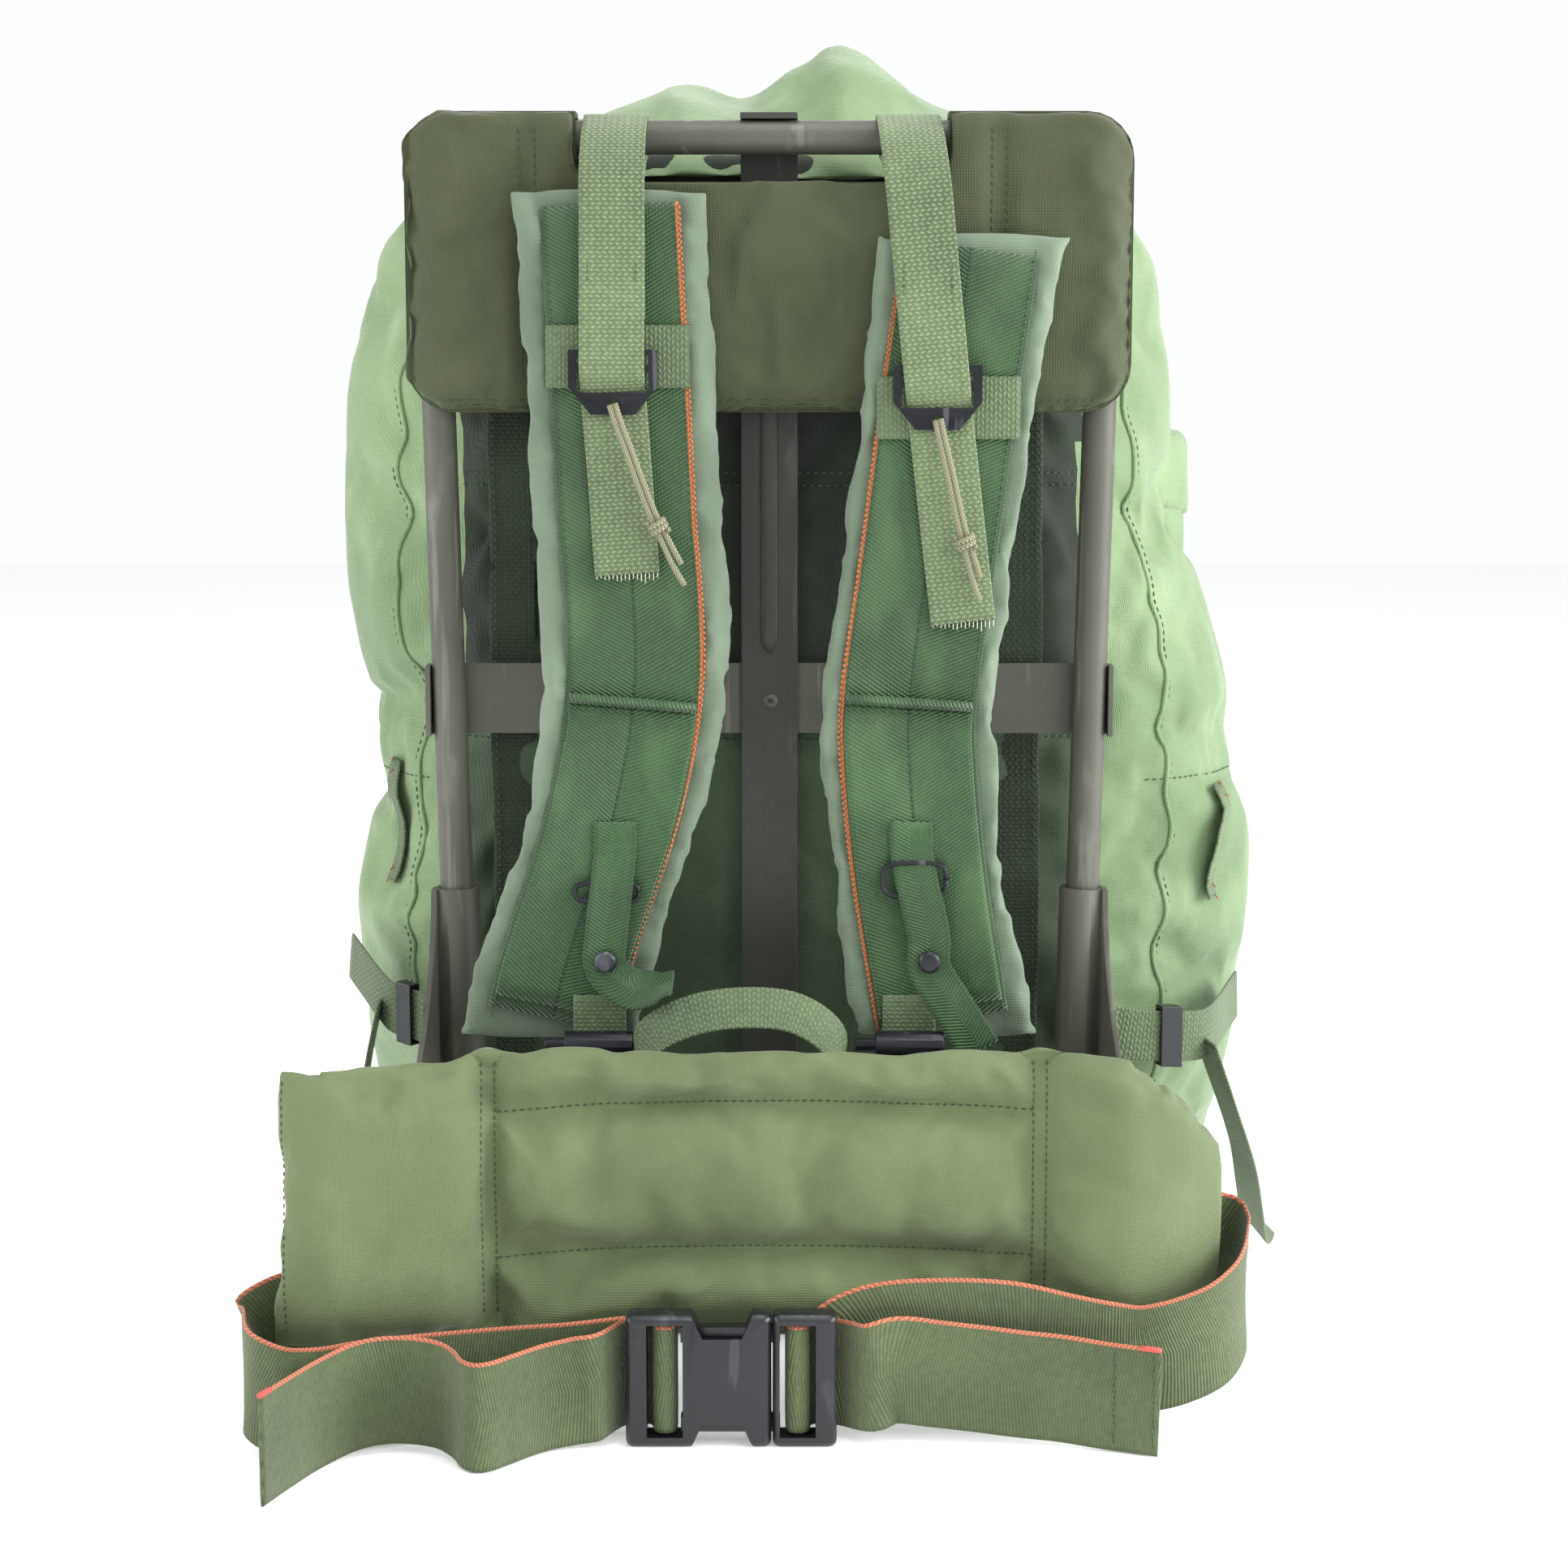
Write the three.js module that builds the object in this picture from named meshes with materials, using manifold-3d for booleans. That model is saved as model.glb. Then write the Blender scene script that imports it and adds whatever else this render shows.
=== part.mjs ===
// External frame backpack: a bent tube frame with flat bars, a stuffed cloth bag with pockets,
// a padded back pocket, two padded shoulder straps, a kidney pad and a waist belt with its buckle.
// Millimetres, +Z up, the wearer's side faces -Y, the origin is the middle of the bag's flat base.
import * as THREE from 'three';
import { mergeVertices } from 'three/addons/utils/BufferGeometryUtils.js';
import Module from 'manifold-3d';

const wasm = await Module();
wasm.setup();

// Clearances and material thicknesses
const gap = 0.3;
const clothWall = 2;
const webbingThick = 1.6;
const beltThick = 1.8;
const barThick = 2.8;
const sheetThick = 2.5;

// Bag
const bagHeight = 600;
const bagWidth = 430;
const bagDepth = 236;
const bagToTube = -0.6;
const mouthWidth = 250;
const mouthDepth = 130;
const lidRise = 44;
const lidApron = 150;

// Frame
const tubeDiameter = 16;
const frameHeight = 602;
const frameFoot = 84;
const frameTopWidth = 316;
const frameLowWidth = 297;
const frameCorner = 62;
const centreBarWidth = 27;
const midBarHeight = 34;
const midBarLevel = 329;
const bowReach = 70;
const bowLevel = 118;
const bowHeight = 26;
const sleeveTop = 238;
const gussetReach = 0.62;
const gussetFlare = 0.28;

// Back pocket that slips over the frame's top corners
const pocketDrop = 139;
const pocketPadding = 13;
const pocketOverhang = 4;
const notchLeft = -90;
const notchRight = 84;
const notchDrop = 29;

// Shoulder straps
const strapLength = 402;
const strapTop = 571;
const strapStagger = 20;
const strapWidth = 97;
const strapThick = 12;
const strapReach = 150;
const facingWidth = 64;
const facingThick = 2;
const hangerWidth = 30;
const ladderWidth = 41;
const ladderHeight = 34;
const ladderLevel = 476;
const tailLength = 96;
const rodDiameter = 13;
const rodLength = 32;
const rodLevel = 172;
const snapDiameter = 11;
const overlapTop = 334;
const ladderThick = 1.8;
const ladderRail = 4;
const cordHole = 5;
const cordThick = 3.2;
const tabWidth = 20;
const snapHeight = 3;
const buckleBar = 4;
const buckleRim = 4.6;
const slotHalf = 8.2;
const notchDepth = 11;
const armHeight = 7;
const armThick = 7;
const sideStrapWidth = 25;
const slideThick = 7;
const slideRim = 2.6;
const archWidth = 20;
const lidStrapOut = 68;
const lidStrapLength = 240;

// Kidney pad and belt
const padWidth = 440;
const padTop = 179;
const padHeight = 134;
const padThick = 22;
const beltHeight = 50.8;
const buckleWidth = 96;
const buckleHeight = 62;
const buckleThick = 14;
const buckleOffset = -17;

// Pockets on the far side of the bag
const lowerPocketHeight = 205;
const upperPocketHeight = 120;

// Places worked out from the sizes
const tubeRadius = tubeDiameter / 2;
const bagFront = -bagDepth / 2;
const tubeY = bagFront - bagToTube - clothWall - barThick - gap * 4 - tubeRadius;
const tubeTopZ = frameHeight - tubeRadius;
const barBack = tubeY + tubeRadius + gap;
const pocketBack = barBack + barThick + gap;
const pocketFront = tubeY - tubeRadius - gap * 2 - pocketPadding;
const padBottom = padTop - padHeight;

// Surface finishes seen in the photograph
const finish = {
  nylon: { color: 0x7e9b70, roughness: 0.62, metalness: 0 },
  pocketCloth: { color: 0x5f6b45, roughness: 0.85, metalness: 0 },
  strapCloth: { color: 0x64795c, roughness: 0.85, metalness: 0 },
  facingWeb: { color: 0x3f7a42, roughness: 0.45, metalness: 0 },
  webbing: { color: 0x5c7048, roughness: 0.75, metalness: 0 },
  padCloth: { color: 0x6f8558, roughness: 0.8, metalness: 0 },
  beltWeb: { color: 0x5e7344, roughness: 0.75, metalness: 0 },
  paintedTube: { color: 0x6e6861, roughness: 0.6, metalness: 0.3 },
  plastic: { color: 0x23262e, roughness: 0.4, metalness: 0 },
  blackSteel: { color: 0x2a2b33, roughness: 0.45, metalness: 0.7 },
  cord: { color: 0x8e8b6e, roughness: 0.85, metalness: 0 },
};

const group = new THREE.Group();
const up = new THREE.Vector3(0, 0, 1);
const east = new THREE.Vector3(1, 0, 0);

function add(name, geometry, look) {
  const mesh = new THREE.Mesh(geometry, new THREE.MeshStandardMaterial(finish[look]));
  mesh.name = name;
  group.add(mesh);
  return mesh;
}

// Joins and cuts of closed meshes
function toSolid(geometry) {
  const bare = geometry.clone();
  bare.deleteAttribute('normal');
  bare.deleteAttribute('uv');
  const merged = mergeVertices(bare, 1e-4);
  return new wasm.Manifold(new wasm.Mesh({
    numProp: 3,
    vertProperties: new Float32Array(merged.attributes.position.array),
    triVerts: new Uint32Array(merged.index.array),
  }));
}

function toGeometry(solid) {
  const mesh = solid.getMesh();
  const geometry = new THREE.BufferGeometry();
  geometry.setAttribute('position', new THREE.BufferAttribute(mesh.vertProperties, 3));
  geometry.setIndex(new THREE.BufferAttribute(mesh.triVerts, 1));
  geometry.computeVertexNormals();
  return geometry;
}

function join(...geometries) {
  return toGeometry(geometries.map(toSolid).reduce((sum, solid) => sum.add(solid)));
}

function cut(geometry, ...tools) {
  return toGeometry(tools.map(toSolid).reduce((rest, tool) => rest.subtract(tool), toSolid(geometry)));
}

function block(x0, x1, y0, y1, z0, z1) {
  const box = new THREE.BoxGeometry(x1 - x0, y1 - y0, z1 - z0);
  box.translate((x0 + x1) / 2, (y0 + y1) / 2, (z0 + z1) / 2);
  return box;
}

function mix(a, b, share) {
  return a + (b - a) * share;
}

// Value of one column of a table at a place between its rows
function along(rows, key, column, place) {
  const last = rows.length - 1;
  if (place <= rows[0][key]) return rows[0][column];
  if (place >= rows[last][key]) return rows[last][column];
  const next = rows.findIndex((row) => row[key] > place);
  const low = rows[next - 1];
  const high = rows[next];
  const share = (place - low[key]) / (high[key] - low[key]);
  return mix(low[column], high[column], share);
}

// A flat band: a box bent along a path, with its width along one direction and its
// thickness across the path
function band({ path, across, width, thick, steps, columns = 1 }) {
  const box = new THREE.BoxGeometry(1, 1, 1, columns, 1, steps);
  const spot = box.attributes.position;
  const side = across.clone().normalize();
  for (let i = 0; i < spot.count; i += 1) {
    const share = spot.getZ(i) + 0.5;
    const wide = typeof width === 'function' ? width(share) : width;
    const deep = typeof thick === 'function' ? thick(share, spot.getX(i) * 2) : thick;
    const normal = new THREE.Vector3().crossVectors(path.getTangent(share), side).normalize();
    const point = path.getPoint(share)
      .addScaledVector(side, spot.getX(i) * wide)
      .addScaledVector(normal, spot.getY(i) * deep);
    spot.setXYZ(i, point.x, point.y, point.z);
  }
  box.computeVertexNormals();
  return box;
}

function curve(points) {
  return new THREE.CatmullRomCurve3(points, false, 'centripetal');
}

function roundedOutline(x0, x1, y0, y1, radius) {
  const shape = new THREE.Shape();
  shape.moveTo(x0 + radius, y0);
  shape.lineTo(x1 - radius, y0);
  shape.absarc(x1 - radius, y0 + radius, radius, -Math.PI / 2, 0, false);
  shape.lineTo(x1, y1 - radius);
  shape.absarc(x1 - radius, y1 - radius, radius, 0, Math.PI / 2, false);
  shape.lineTo(x0 + radius, y1);
  shape.absarc(x0 + radius, y1 - radius, radius, Math.PI / 2, Math.PI, false);
  shape.lineTo(x0, y0 + radius);
  shape.absarc(x0 + radius, y0 + radius, radius, Math.PI, Math.PI * 1.5, false);
  return shape;
}

// An outline drawn in X and Z, made thick from the back plane towards the wearer
function plateXZ(shape, back, thick, curveSegments = 4, bevel = 0) {
  const plate = new THREE.ExtrudeGeometry(shape, {
    depth: thick - bevel * 2,
    curveSegments,
    bevelEnabled: bevel > 0,
    bevelThickness: bevel,
    bevelSize: bevel,
    bevelOffset: -bevel,
    bevelSegments: 1,
  });
  plate.rotateX(Math.PI / 2);
  plate.translate(0, back - bevel, 0);
  return plate;
}

function circle(radius, sides) {
  const points = [];
  for (let i = 0; i < sides; i += 1) {
    const angle = ((i + 0.5) * 2 * Math.PI) / sides;
    points.push(new THREE.Vector2(radius * Math.cos(angle), radius * Math.sin(angle)));
  }
  return new THREE.Shape(points);
}

// Bag body: the outline at each height as shares of the named sizes
const bagSections = [
  { up: 0, left: 0.86, right: 0.9, front: 0.86, back: 0.88 },
  { up: 0.03, left: 0.93, right: 0.99, front: 0.97, back: 0.97 },
  { up: 0.12, left: 0.95, right: 1.03, front: 1, back: 1 },
  { up: 0.235, left: 0.945, right: 1.1, front: 1, back: 1.01 },
  { up: 0.34, left: 0.98, right: 1.13, front: 1, back: 1 },
  { up: 0.43, left: 0.95, right: 1.14, front: 1, back: 1 },
  { up: 0.5, left: 0.925, right: 1.13, front: 1, back: 0.97 },
  { up: 0.58, left: 0.975, right: 1.09, front: 1, back: 0.95 },
  { up: 0.66, left: 0.99, right: 1.02, front: 1, back: 0.94 },
  { up: 0.75, left: 0.99, right: 0.935, front: 1, back: 0.92 },
  { up: 0.84, left: 0.97, right: 0.915, front: 1, back: 0.9 },
  { up: 0.9, left: 0.92, right: 0.885, front: 1, back: 0.86 },
  { up: 0.955, left: 0.88, right: 0.87, front: 0.93, back: 0.82 },
  { up: 0.985, left: 0.8, right: 0.8, front: 0.88, back: 0.72 },
];

// Dents and folds of the stuffed cloth: where round the bag, how high, how wide and how deep
const bagFolds = [
  { turn: -18, up: 0.62, wide: 22, tall: 0.03, depth: 0.045 },
  { turn: -6, up: 0.53, wide: 16, tall: 0.02, depth: 0.035 },
  { turn: 10, up: 0.72, wide: 26, tall: 0.05, depth: 0.04 },
  { turn: -150, up: 0.5, wide: 18, tall: 0.04, depth: 0.05 },
  { turn: 170, up: 0.88, wide: 24, tall: 0.03, depth: 0.045 },
  { turn: -170, up: 0.2, wide: 20, tall: 0.03, depth: 0.035 },
  { turn: 40, up: 0.86, wide: 20, tall: 0.05, depth: 0.05 },
  { turn: 95, up: 0.8, wide: 40, tall: 0.04, depth: 0.04 },
  { turn: 130, up: 0.9, wide: 22, tall: 0.06, depth: 0.05 },
];
const cornerPower = 0.52;
const frontPinch = 0.2;

function power(value, exponent) {
  return Math.sign(value) * Math.abs(value) ** exponent;
}

// Point on the bag's cloth for an angle round it and a height, grown outwards by some length
function bagPoint(angle, height, grow) {
  const up = height / bagHeight;
  const c = Math.cos(angle);
  const s = Math.sin(angle);
  const sideShare = along(bagSections, 'up', c > 0 ? 'right' : 'left', up);
  const depthShare = along(bagSections, 'up', s > 0 ? 'back' : 'front', up);
  let dent = 0;
  for (const fold of bagFolds) {
    const turned = Math.atan2(Math.sin(angle - THREE.MathUtils.degToRad(fold.turn)),
      Math.cos(angle - THREE.MathUtils.degToRad(fold.turn)));
    const round = turned / THREE.MathUtils.degToRad(fold.wide);
    const rise = (up - fold.up) / fold.tall;
    dent += fold.depth * Math.exp(-round * round - rise * rise);
  }
  const pinch = s < 0 ? 1 - frontPinch * s * s : 1;
  const halfWide = (bagWidth / 2) * sideShare * (1 - dent) + grow;
  const halfDeep = (bagDepth / 2) * depthShare * (s > 0 ? 1 - dent : 1) + grow;
  return {
    x: halfWide * pinch * power(c, cornerPower),
    y: halfDeep * power(s, cornerPower),
  };
}

// Closed bag solid, grown outwards by some length, from one height to another
function bagSolid(grow, low, high, columns, rows) {
  const can = new THREE.CylinderGeometry(1, 1, 1, columns, rows);
  can.rotateX(Math.PI / 2);
  const spot = can.attributes.position;
  for (let i = 0; i < spot.count; i += 1) {
    const share = spot.getZ(i) + 0.5;
    const radius = Math.hypot(spot.getX(i), spot.getY(i));
    const height = mix(low, high, share);
    const angle = Math.atan2(spot.getY(i), spot.getX(i));
    const edge = bagPoint(angle, height, grow);
    spot.setXYZ(i, edge.x * radius, edge.y * radius, height);
  }
  return can;
}

const bagRows = 11;
const bagColumns = 22;
const bagShoulder = bagHeight * 0.985;

function bagBody() {
  const outer = bagSolid(0, 0, bagShoulder, bagColumns, bagRows);
  const inner = bagSolid(-clothWall, clothWall, bagShoulder - clothWall, bagColumns, bagRows);
  const mouth = new THREE.CylinderGeometry(1, 1, clothWall * 6, 14);
  mouth.rotateX(Math.PI / 2);
  mouth.scale(mouthWidth / 2, mouthDepth / 2, 1);
  mouth.translate(0, 0, bagShoulder);
  return cut(outer, inner, mouth);
}

// Lid: a dome of cloth over the mouth with an apron down the far side
const lidLumps = [
  { x: 0.14, y: 0, wide: 0.2, rise: 0.6 },
  { x: -0.27, y: 0.1, wide: 0.16, rise: 0.2 },
  { x: 0.02, y: 0.5, wide: 0.25, rise: 0.15 },
];
const lidBase = 0.3;

function lidSolid(grow, lowest) {
  const ball = new THREE.SphereGeometry(1, bagColumns, 10);
  ball.rotateX(Math.PI / 2);
  const spot = ball.attributes.position;
  const rim = bagShoulder - 10;
  for (let i = 0; i < spot.count; i += 1) {
    const polar = Math.acos(THREE.MathUtils.clamp(spot.getZ(i), -1, 1)) / Math.PI;
    const angle = Math.atan2(spot.getY(i), spot.getX(i));
    let reach = 1;
    let height;
    if (polar <= 0.5) {
      reach = Math.sin(polar * Math.PI);
      const edge = bagPoint(angle, rim, grow);
      const x = (edge.x * reach) / (bagWidth / 2);
      const y = (edge.y * reach) / (bagDepth / 2);
      let rise = lidBase * (1 - reach ** 4);
      for (const lump of lidLumps) {
        rise += lump.rise * (1 - reach ** 6)
          * Math.exp(-(((x - lump.x) / lump.wide) ** 2) - (((y - lump.y) / 0.7) ** 2));
      }
      height = bagShoulder + grow + (rim - bagShoulder) * reach ** 8 + lidRise * rise;
      spot.setXYZ(i, edge.x * reach, edge.y * reach, height);
    } else {
      const drop = Math.min((polar - 0.5) / 0.4, 1);
      height = mix(rim, lowest, drop);
      reach = polar > 0.9 ? Math.max(0, (1 - polar) / 0.1) : 1;
      const edge = bagPoint(angle, height, grow);
      spot.setXYZ(i, edge.x * reach, edge.y * reach, height);
    }
  }
  return ball;
}

function lidFlap() {
  const bottom = bagShoulder - lidApron;
  const outer = lidSolid(gap * 3 + clothWall, bottom);
  const inner = lidSolid(gap * 3, bottom - 20);
  const skirt = 16;
  const away = bagDepth;
  const front = block(-bagWidth, bagWidth, -away, bagDepth * 0.16, 0, bagShoulder - skirt);
  const leftSide = block(-bagWidth, -bagWidth * 0.3, 0, away, 0, bagShoulder - skirt);
  const rightSide = block(bagWidth * 0.3, bagWidth, 0, away, 0, bagShoulder - skirt);
  const body = bagSolid(gap, 0, bagShoulder, bagColumns, bagRows);
  return cut(outer, inner, front, leftSide, rightSide, body);
}

// A pouch on the far side, closed at its top by a soft crown
function pouchSolid(pouch, grow, height) {
  const can = new THREE.CylinderGeometry(1, 1, 1, 14, 3);
  can.rotateX(Math.PI / 2);
  const spot = can.attributes.position;
  for (let i = 0; i < spot.count; i += 1) {
    const share = spot.getZ(i) + 0.5;
    const radius = Math.hypot(spot.getX(i), spot.getY(i));
    const angle = Math.atan2(spot.getY(i), spot.getX(i));
    const belly = 0.86 + 0.14 * Math.sin(Math.PI * (0.15 + 0.7 * share));
    const x = (pouch.wide / 2 * belly + grow) * power(Math.cos(angle), 0.6) * radius;
    const y = (pouch.deep * belly + grow) * power(Math.sin(angle), 0.6) * radius;
    spot.setXYZ(i, x, y, mix(-grow, height + grow, share));
  }
  can.rotateZ(THREE.MathUtils.degToRad(pouch.turn));
  can.translate(pouch.x, pouch.y, pouch.low);
  return can;
}

const farFace = bagDepth / 2;
const pouches = [
  { name: 'lower', side: 'left', x: -0.33 * bagWidth, y: farFace * 0.84, turn: 26, low: 34,
    wide: 122, deep: 50, high: lowerPocketHeight },
  { name: 'lower', side: 'centre', x: 0, y: farFace, turn: 0, low: 34,
    wide: 128, deep: 54, high: lowerPocketHeight },
  { name: 'lower', side: 'right', x: 0.38 * bagWidth, y: farFace * 0.8, turn: -34, low: 60,
    wide: 126, deep: 52, high: lowerPocketHeight },
  { name: 'upper', side: 'left', x: -0.31 * bagWidth, y: farFace * 0.8, turn: 24, low: 302,
    wide: 96, deep: 34, high: upperPocketHeight },
  { name: 'upper', side: 'centre', x: 0, y: farFace * 0.94, turn: 0, low: 302,
    wide: 100, deep: 36, high: upperPocketHeight },
  { name: 'upper', side: 'right', x: 0.41 * bagWidth, y: farFace * 0.66, turn: -40, low: 330,
    wide: 92, deep: 40, high: upperPocketHeight },
];

function addPouches() {
  const body = bagSolid(gap, 0, bagShoulder, bagColumns, bagRows);
  for (const pouch of pouches) {
    const flapHang = pouch.high * 0.34;
    const outer = pouchSolid(pouch, 0, pouch.high);
    const inner = pouchSolid(pouch, -clothWall, pouch.high + 30);
    add(`${pouch.name}_pocket_${pouch.side}`, cut(outer, inner, body), 'nylon');
    const over = pouchSolid(pouch, gap + clothWall, pouch.high + gap);
    const under = pouchSolid(pouch, gap, pouch.high);
    const far = bagWidth;
    const below = block(-far, far, -far, far, 0, pouch.low + pouch.high - flapHang);
    add(`${pouch.name}_flap_${pouch.side}`, cut(over, under, below, body), 'nylon');
  }
}

// Frame tube: an upside-down U whose legs draw in towards the foot
function frameTube() {
  const half = frameTopWidth / 2;
  const foot = frameLowWidth / 2;
  const path = new THREE.CurvePath();
  const at = (x, z) => new THREE.Vector3(x, tubeY, z);
  path.add(new THREE.LineCurve3(at(-foot, frameFoot), at(-half, tubeTopZ - frameCorner)));
  path.add(new THREE.QuadraticBezierCurve3(at(-half, tubeTopZ - frameCorner), at(-half, tubeTopZ),
    at(-half + frameCorner, tubeTopZ)));
  path.add(new THREE.LineCurve3(at(-half + frameCorner, tubeTopZ), at(half - frameCorner, tubeTopZ)));
  path.add(new THREE.QuadraticBezierCurve3(at(half - frameCorner, tubeTopZ), at(half, tubeTopZ),
    at(half, tubeTopZ - frameCorner)));
  path.add(new THREE.LineCurve3(at(half, tubeTopZ - frameCorner), at(foot, frameFoot)));
  return new THREE.ExtrudeGeometry(circle(tubeRadius, 10), {
    steps: 28, bevelEnabled: false, extrudePath: path,
  });
}

// Half the distance between the tube centres at a height
function tubeSpread(height) {
  const share = (height - frameFoot) / (tubeTopZ - frameCorner - frameFoot);
  return mix(frameLowWidth, frameTopWidth, share) / 2;
}

// Centre bar: flat, in front of the middle bar, bent behind the top tube and hooked over it
function centreBar() {
  const front = barBack - gap - barThick / 2;
  const back = barBack + barThick / 2;
  const over = frameHeight + gap + barThick / 2;
  const points = [
    new THREE.Vector3(0, front, frameFoot),
    new THREE.Vector3(0, front, frameHeight * 0.5),
    new THREE.Vector3(0, front, tubeTopZ - tubeRadius * 5),
    new THREE.Vector3(0, back, tubeTopZ - tubeRadius * 3),
    new THREE.Vector3(0, back, tubeTopZ + tubeRadius * 0.7),
    new THREE.Vector3(0, back - barThick * 0.6, over),
    new THREE.Vector3(0, tubeY, over),
    new THREE.Vector3(0, tubeY - tubeRadius * 0.7, over),
  ];
  return foldedBand(points, east, centreBarWidth, barThick);
}

// A band through corner points, mitred at each corner
function foldedBand(points, across, width, thick) {
  const steps = points.length - 1;
  const box = new THREE.BoxGeometry(1, 1, 1, 1, 1, steps);
  const spot = box.attributes.position;
  const side = across.clone().normalize();
  for (let i = 0; i < spot.count; i += 1) {
    const index = Math.round((spot.getZ(i) + 0.5) * steps);
    const here = points[index];
    const before = points[Math.max(index - 1, 0)];
    const after = points[Math.min(index + 1, steps)];
    const into = new THREE.Vector3().subVectors(here, before).normalize();
    const out = new THREE.Vector3().subVectors(after, here).normalize();
    const tangent = new THREE.Vector3().addVectors(into, out).normalize();
    const normal = new THREE.Vector3().crossVectors(tangent, side).normalize();
    const flat = index === 0 ? out : into;
    const mitre = 1 / Math.max(0.5, Math.abs(tangent.dot(flat)));
    const wide = typeof width === 'function' ? width(index / steps) : width;
    const point = here.clone()
      .addScaledVector(side, spot.getX(i) * wide)
      .addScaledVector(normal, spot.getY(i) * thick * mitre);
    spot.setXYZ(i, point.x, point.y, point.z);
  }
  box.computeVertexNormals();
  return box;
}

// Middle bar: flat behind the tubes, with its ends wrapped round their outer sides
function midBar() {
  const back = barBack + sheetThick / 2;
  const out = tubeSpread(midBarLevel) + tubeRadius + gap * 2 + sheetThick / 2;
  const front = tubeY - tubeRadius * 0.75;
  const points = [
    new THREE.Vector3(-out, front, midBarLevel),
    new THREE.Vector3(-out, tubeY + tubeRadius * 0.7, midBarLevel),
    new THREE.Vector3(-out + tubeRadius * 0.4, back, midBarLevel),
    new THREE.Vector3(out - tubeRadius * 0.4, back, midBarLevel),
    new THREE.Vector3(out, tubeY + tubeRadius * 0.7, midBarLevel),
    new THREE.Vector3(out, front, midBarLevel),
  ];
  return foldedBand(points, up, midBarHeight, sheetThick);
}

// Gusset: a sheet-metal sleeve round the tube's foot whose outer side flares forward to the bow
function gussetInner(forward, height) {
  const base = tubeSpread(height) + tubeRadius + gap * 2;
  return base + Math.max(0, forward - tubeRadius) * gussetFlare;
}

function gusset(sign) {
  const outline = new THREE.Shape();
  const reach = bowReach * gussetReach;
  outline.moveTo(0, frameFoot);
  outline.lineTo(reach, frameFoot);
  outline.lineTo(reach, bowLevel + bowHeight);
  outline.quadraticCurveTo(tubeRadius * 1.8, sleeveTop - bowHeight * 2, tubeRadius * 1.1, sleeveTop);
  outline.lineTo(0, sleeveTop);
  const plate = new THREE.ExtrudeGeometry(outline, {
    depth: sheetThick, bevelEnabled: false, curveSegments: 6,
  });
  const spot = plate.attributes.position;
  for (let i = 0; i < spot.count; i += 1) {
    const forward = spot.getX(i);
    const height = spot.getY(i);
    const out = gussetInner(forward, height) + sheetThick - spot.getZ(i);
    spot.setXYZ(i, out, tubeY - forward, height);
  }
  const foot = new THREE.Vector3(tubeSpread(frameFoot), tubeY, frameFoot);
  const top = new THREE.Vector3(tubeSpread(sleeveTop), tubeY, sleeveTop);
  const ring = new THREE.ExtrudeGeometry(circle(tubeRadius + gap * 2 + sheetThick, 10), {
    steps: 1, bevelEnabled: false, extrudePath: new THREE.LineCurve3(foot, top),
  });
  const away = new THREE.Vector3().subVectors(top, foot).multiplyScalar(0.2);
  const bore = new THREE.ExtrudeGeometry(circle(tubeRadius + gap * 2, 10), {
    steps: 1, bevelEnabled: false,
    extrudePath: new THREE.LineCurve3(foot.clone().sub(away), top.clone().add(away)),
  });
  return mirrored(cut(join(plate, ring), bore), sign);
}

function mirrored(geometry, sign) {
  if (sign > 0) return geometry;
  const turned = geometry.clone();
  turned.scale(-1, 1, 1);
  const index = turned.index;
  for (let i = 0; i < index.count; i += 3) {
    const first = index.getX(i);
    index.setX(i, index.getX(i + 1));
    index.setX(i + 1, first);
  }
  turned.computeVertexNormals();
  return turned;
}

// Bow: a flat bar that carries the kidney pad, run forward from both gussets
const bowPlan = [
  { out: 1, ahead: 0.3 },
  { out: 1, ahead: 0.56 },
  { out: 0.93, ahead: 0.8 },
  { out: 0.78, ahead: 0.95 },
  { out: 0.55, ahead: 1 },
];

function lowerBow() {
  const half = bowPlan.map((row) => {
    const forward = row.ahead * bowReach;
    const x = gussetInner(Math.min(forward, bowReach * gussetReach), bowLevel) - sheetThick;
    return new THREE.Vector3(x * row.out, tubeY - forward, bowLevel);
  });
  const left = half.map((point) => new THREE.Vector3(-point.x, point.y, point.z));
  return foldedBand([...left, ...half.reverse()], up, bowHeight, sheetThick);
}

// Back pocket: a padded front and a thin back joined round the frame's top corners
function backPocket() {
  const half = frameTopWidth / 2 + tubeRadius + gap + pocketOverhang;
  const top = frameHeight + gap * 2 + pocketOverhang * 0.7;
  const bottom = top - pocketDrop;
  const back = pocketBack + clothWall * 0.8;
  const outline = roundedOutline(-half, half, bottom, top, frameCorner * 0.36);
  const outer = plateXZ(outline, back, back - pocketFront, 3, 4);
  const hole = block(-half + pocketOverhang, half - pocketOverhang, tubeY - tubeRadius - gap * 2,
    pocketBack, bottom - pocketDrop, frameHeight + gap * 2);
  const notchLow = frameHeight - notchDrop;
  const notch = roundedOutline(notchLeft, notchRight, notchLow, top + pocketDrop, notchDrop * 0.4);
  const away = plateXZ(notch, 0, -pocketFront + pocketPadding * 2);
  return cut(outer, hole, away);
}

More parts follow.
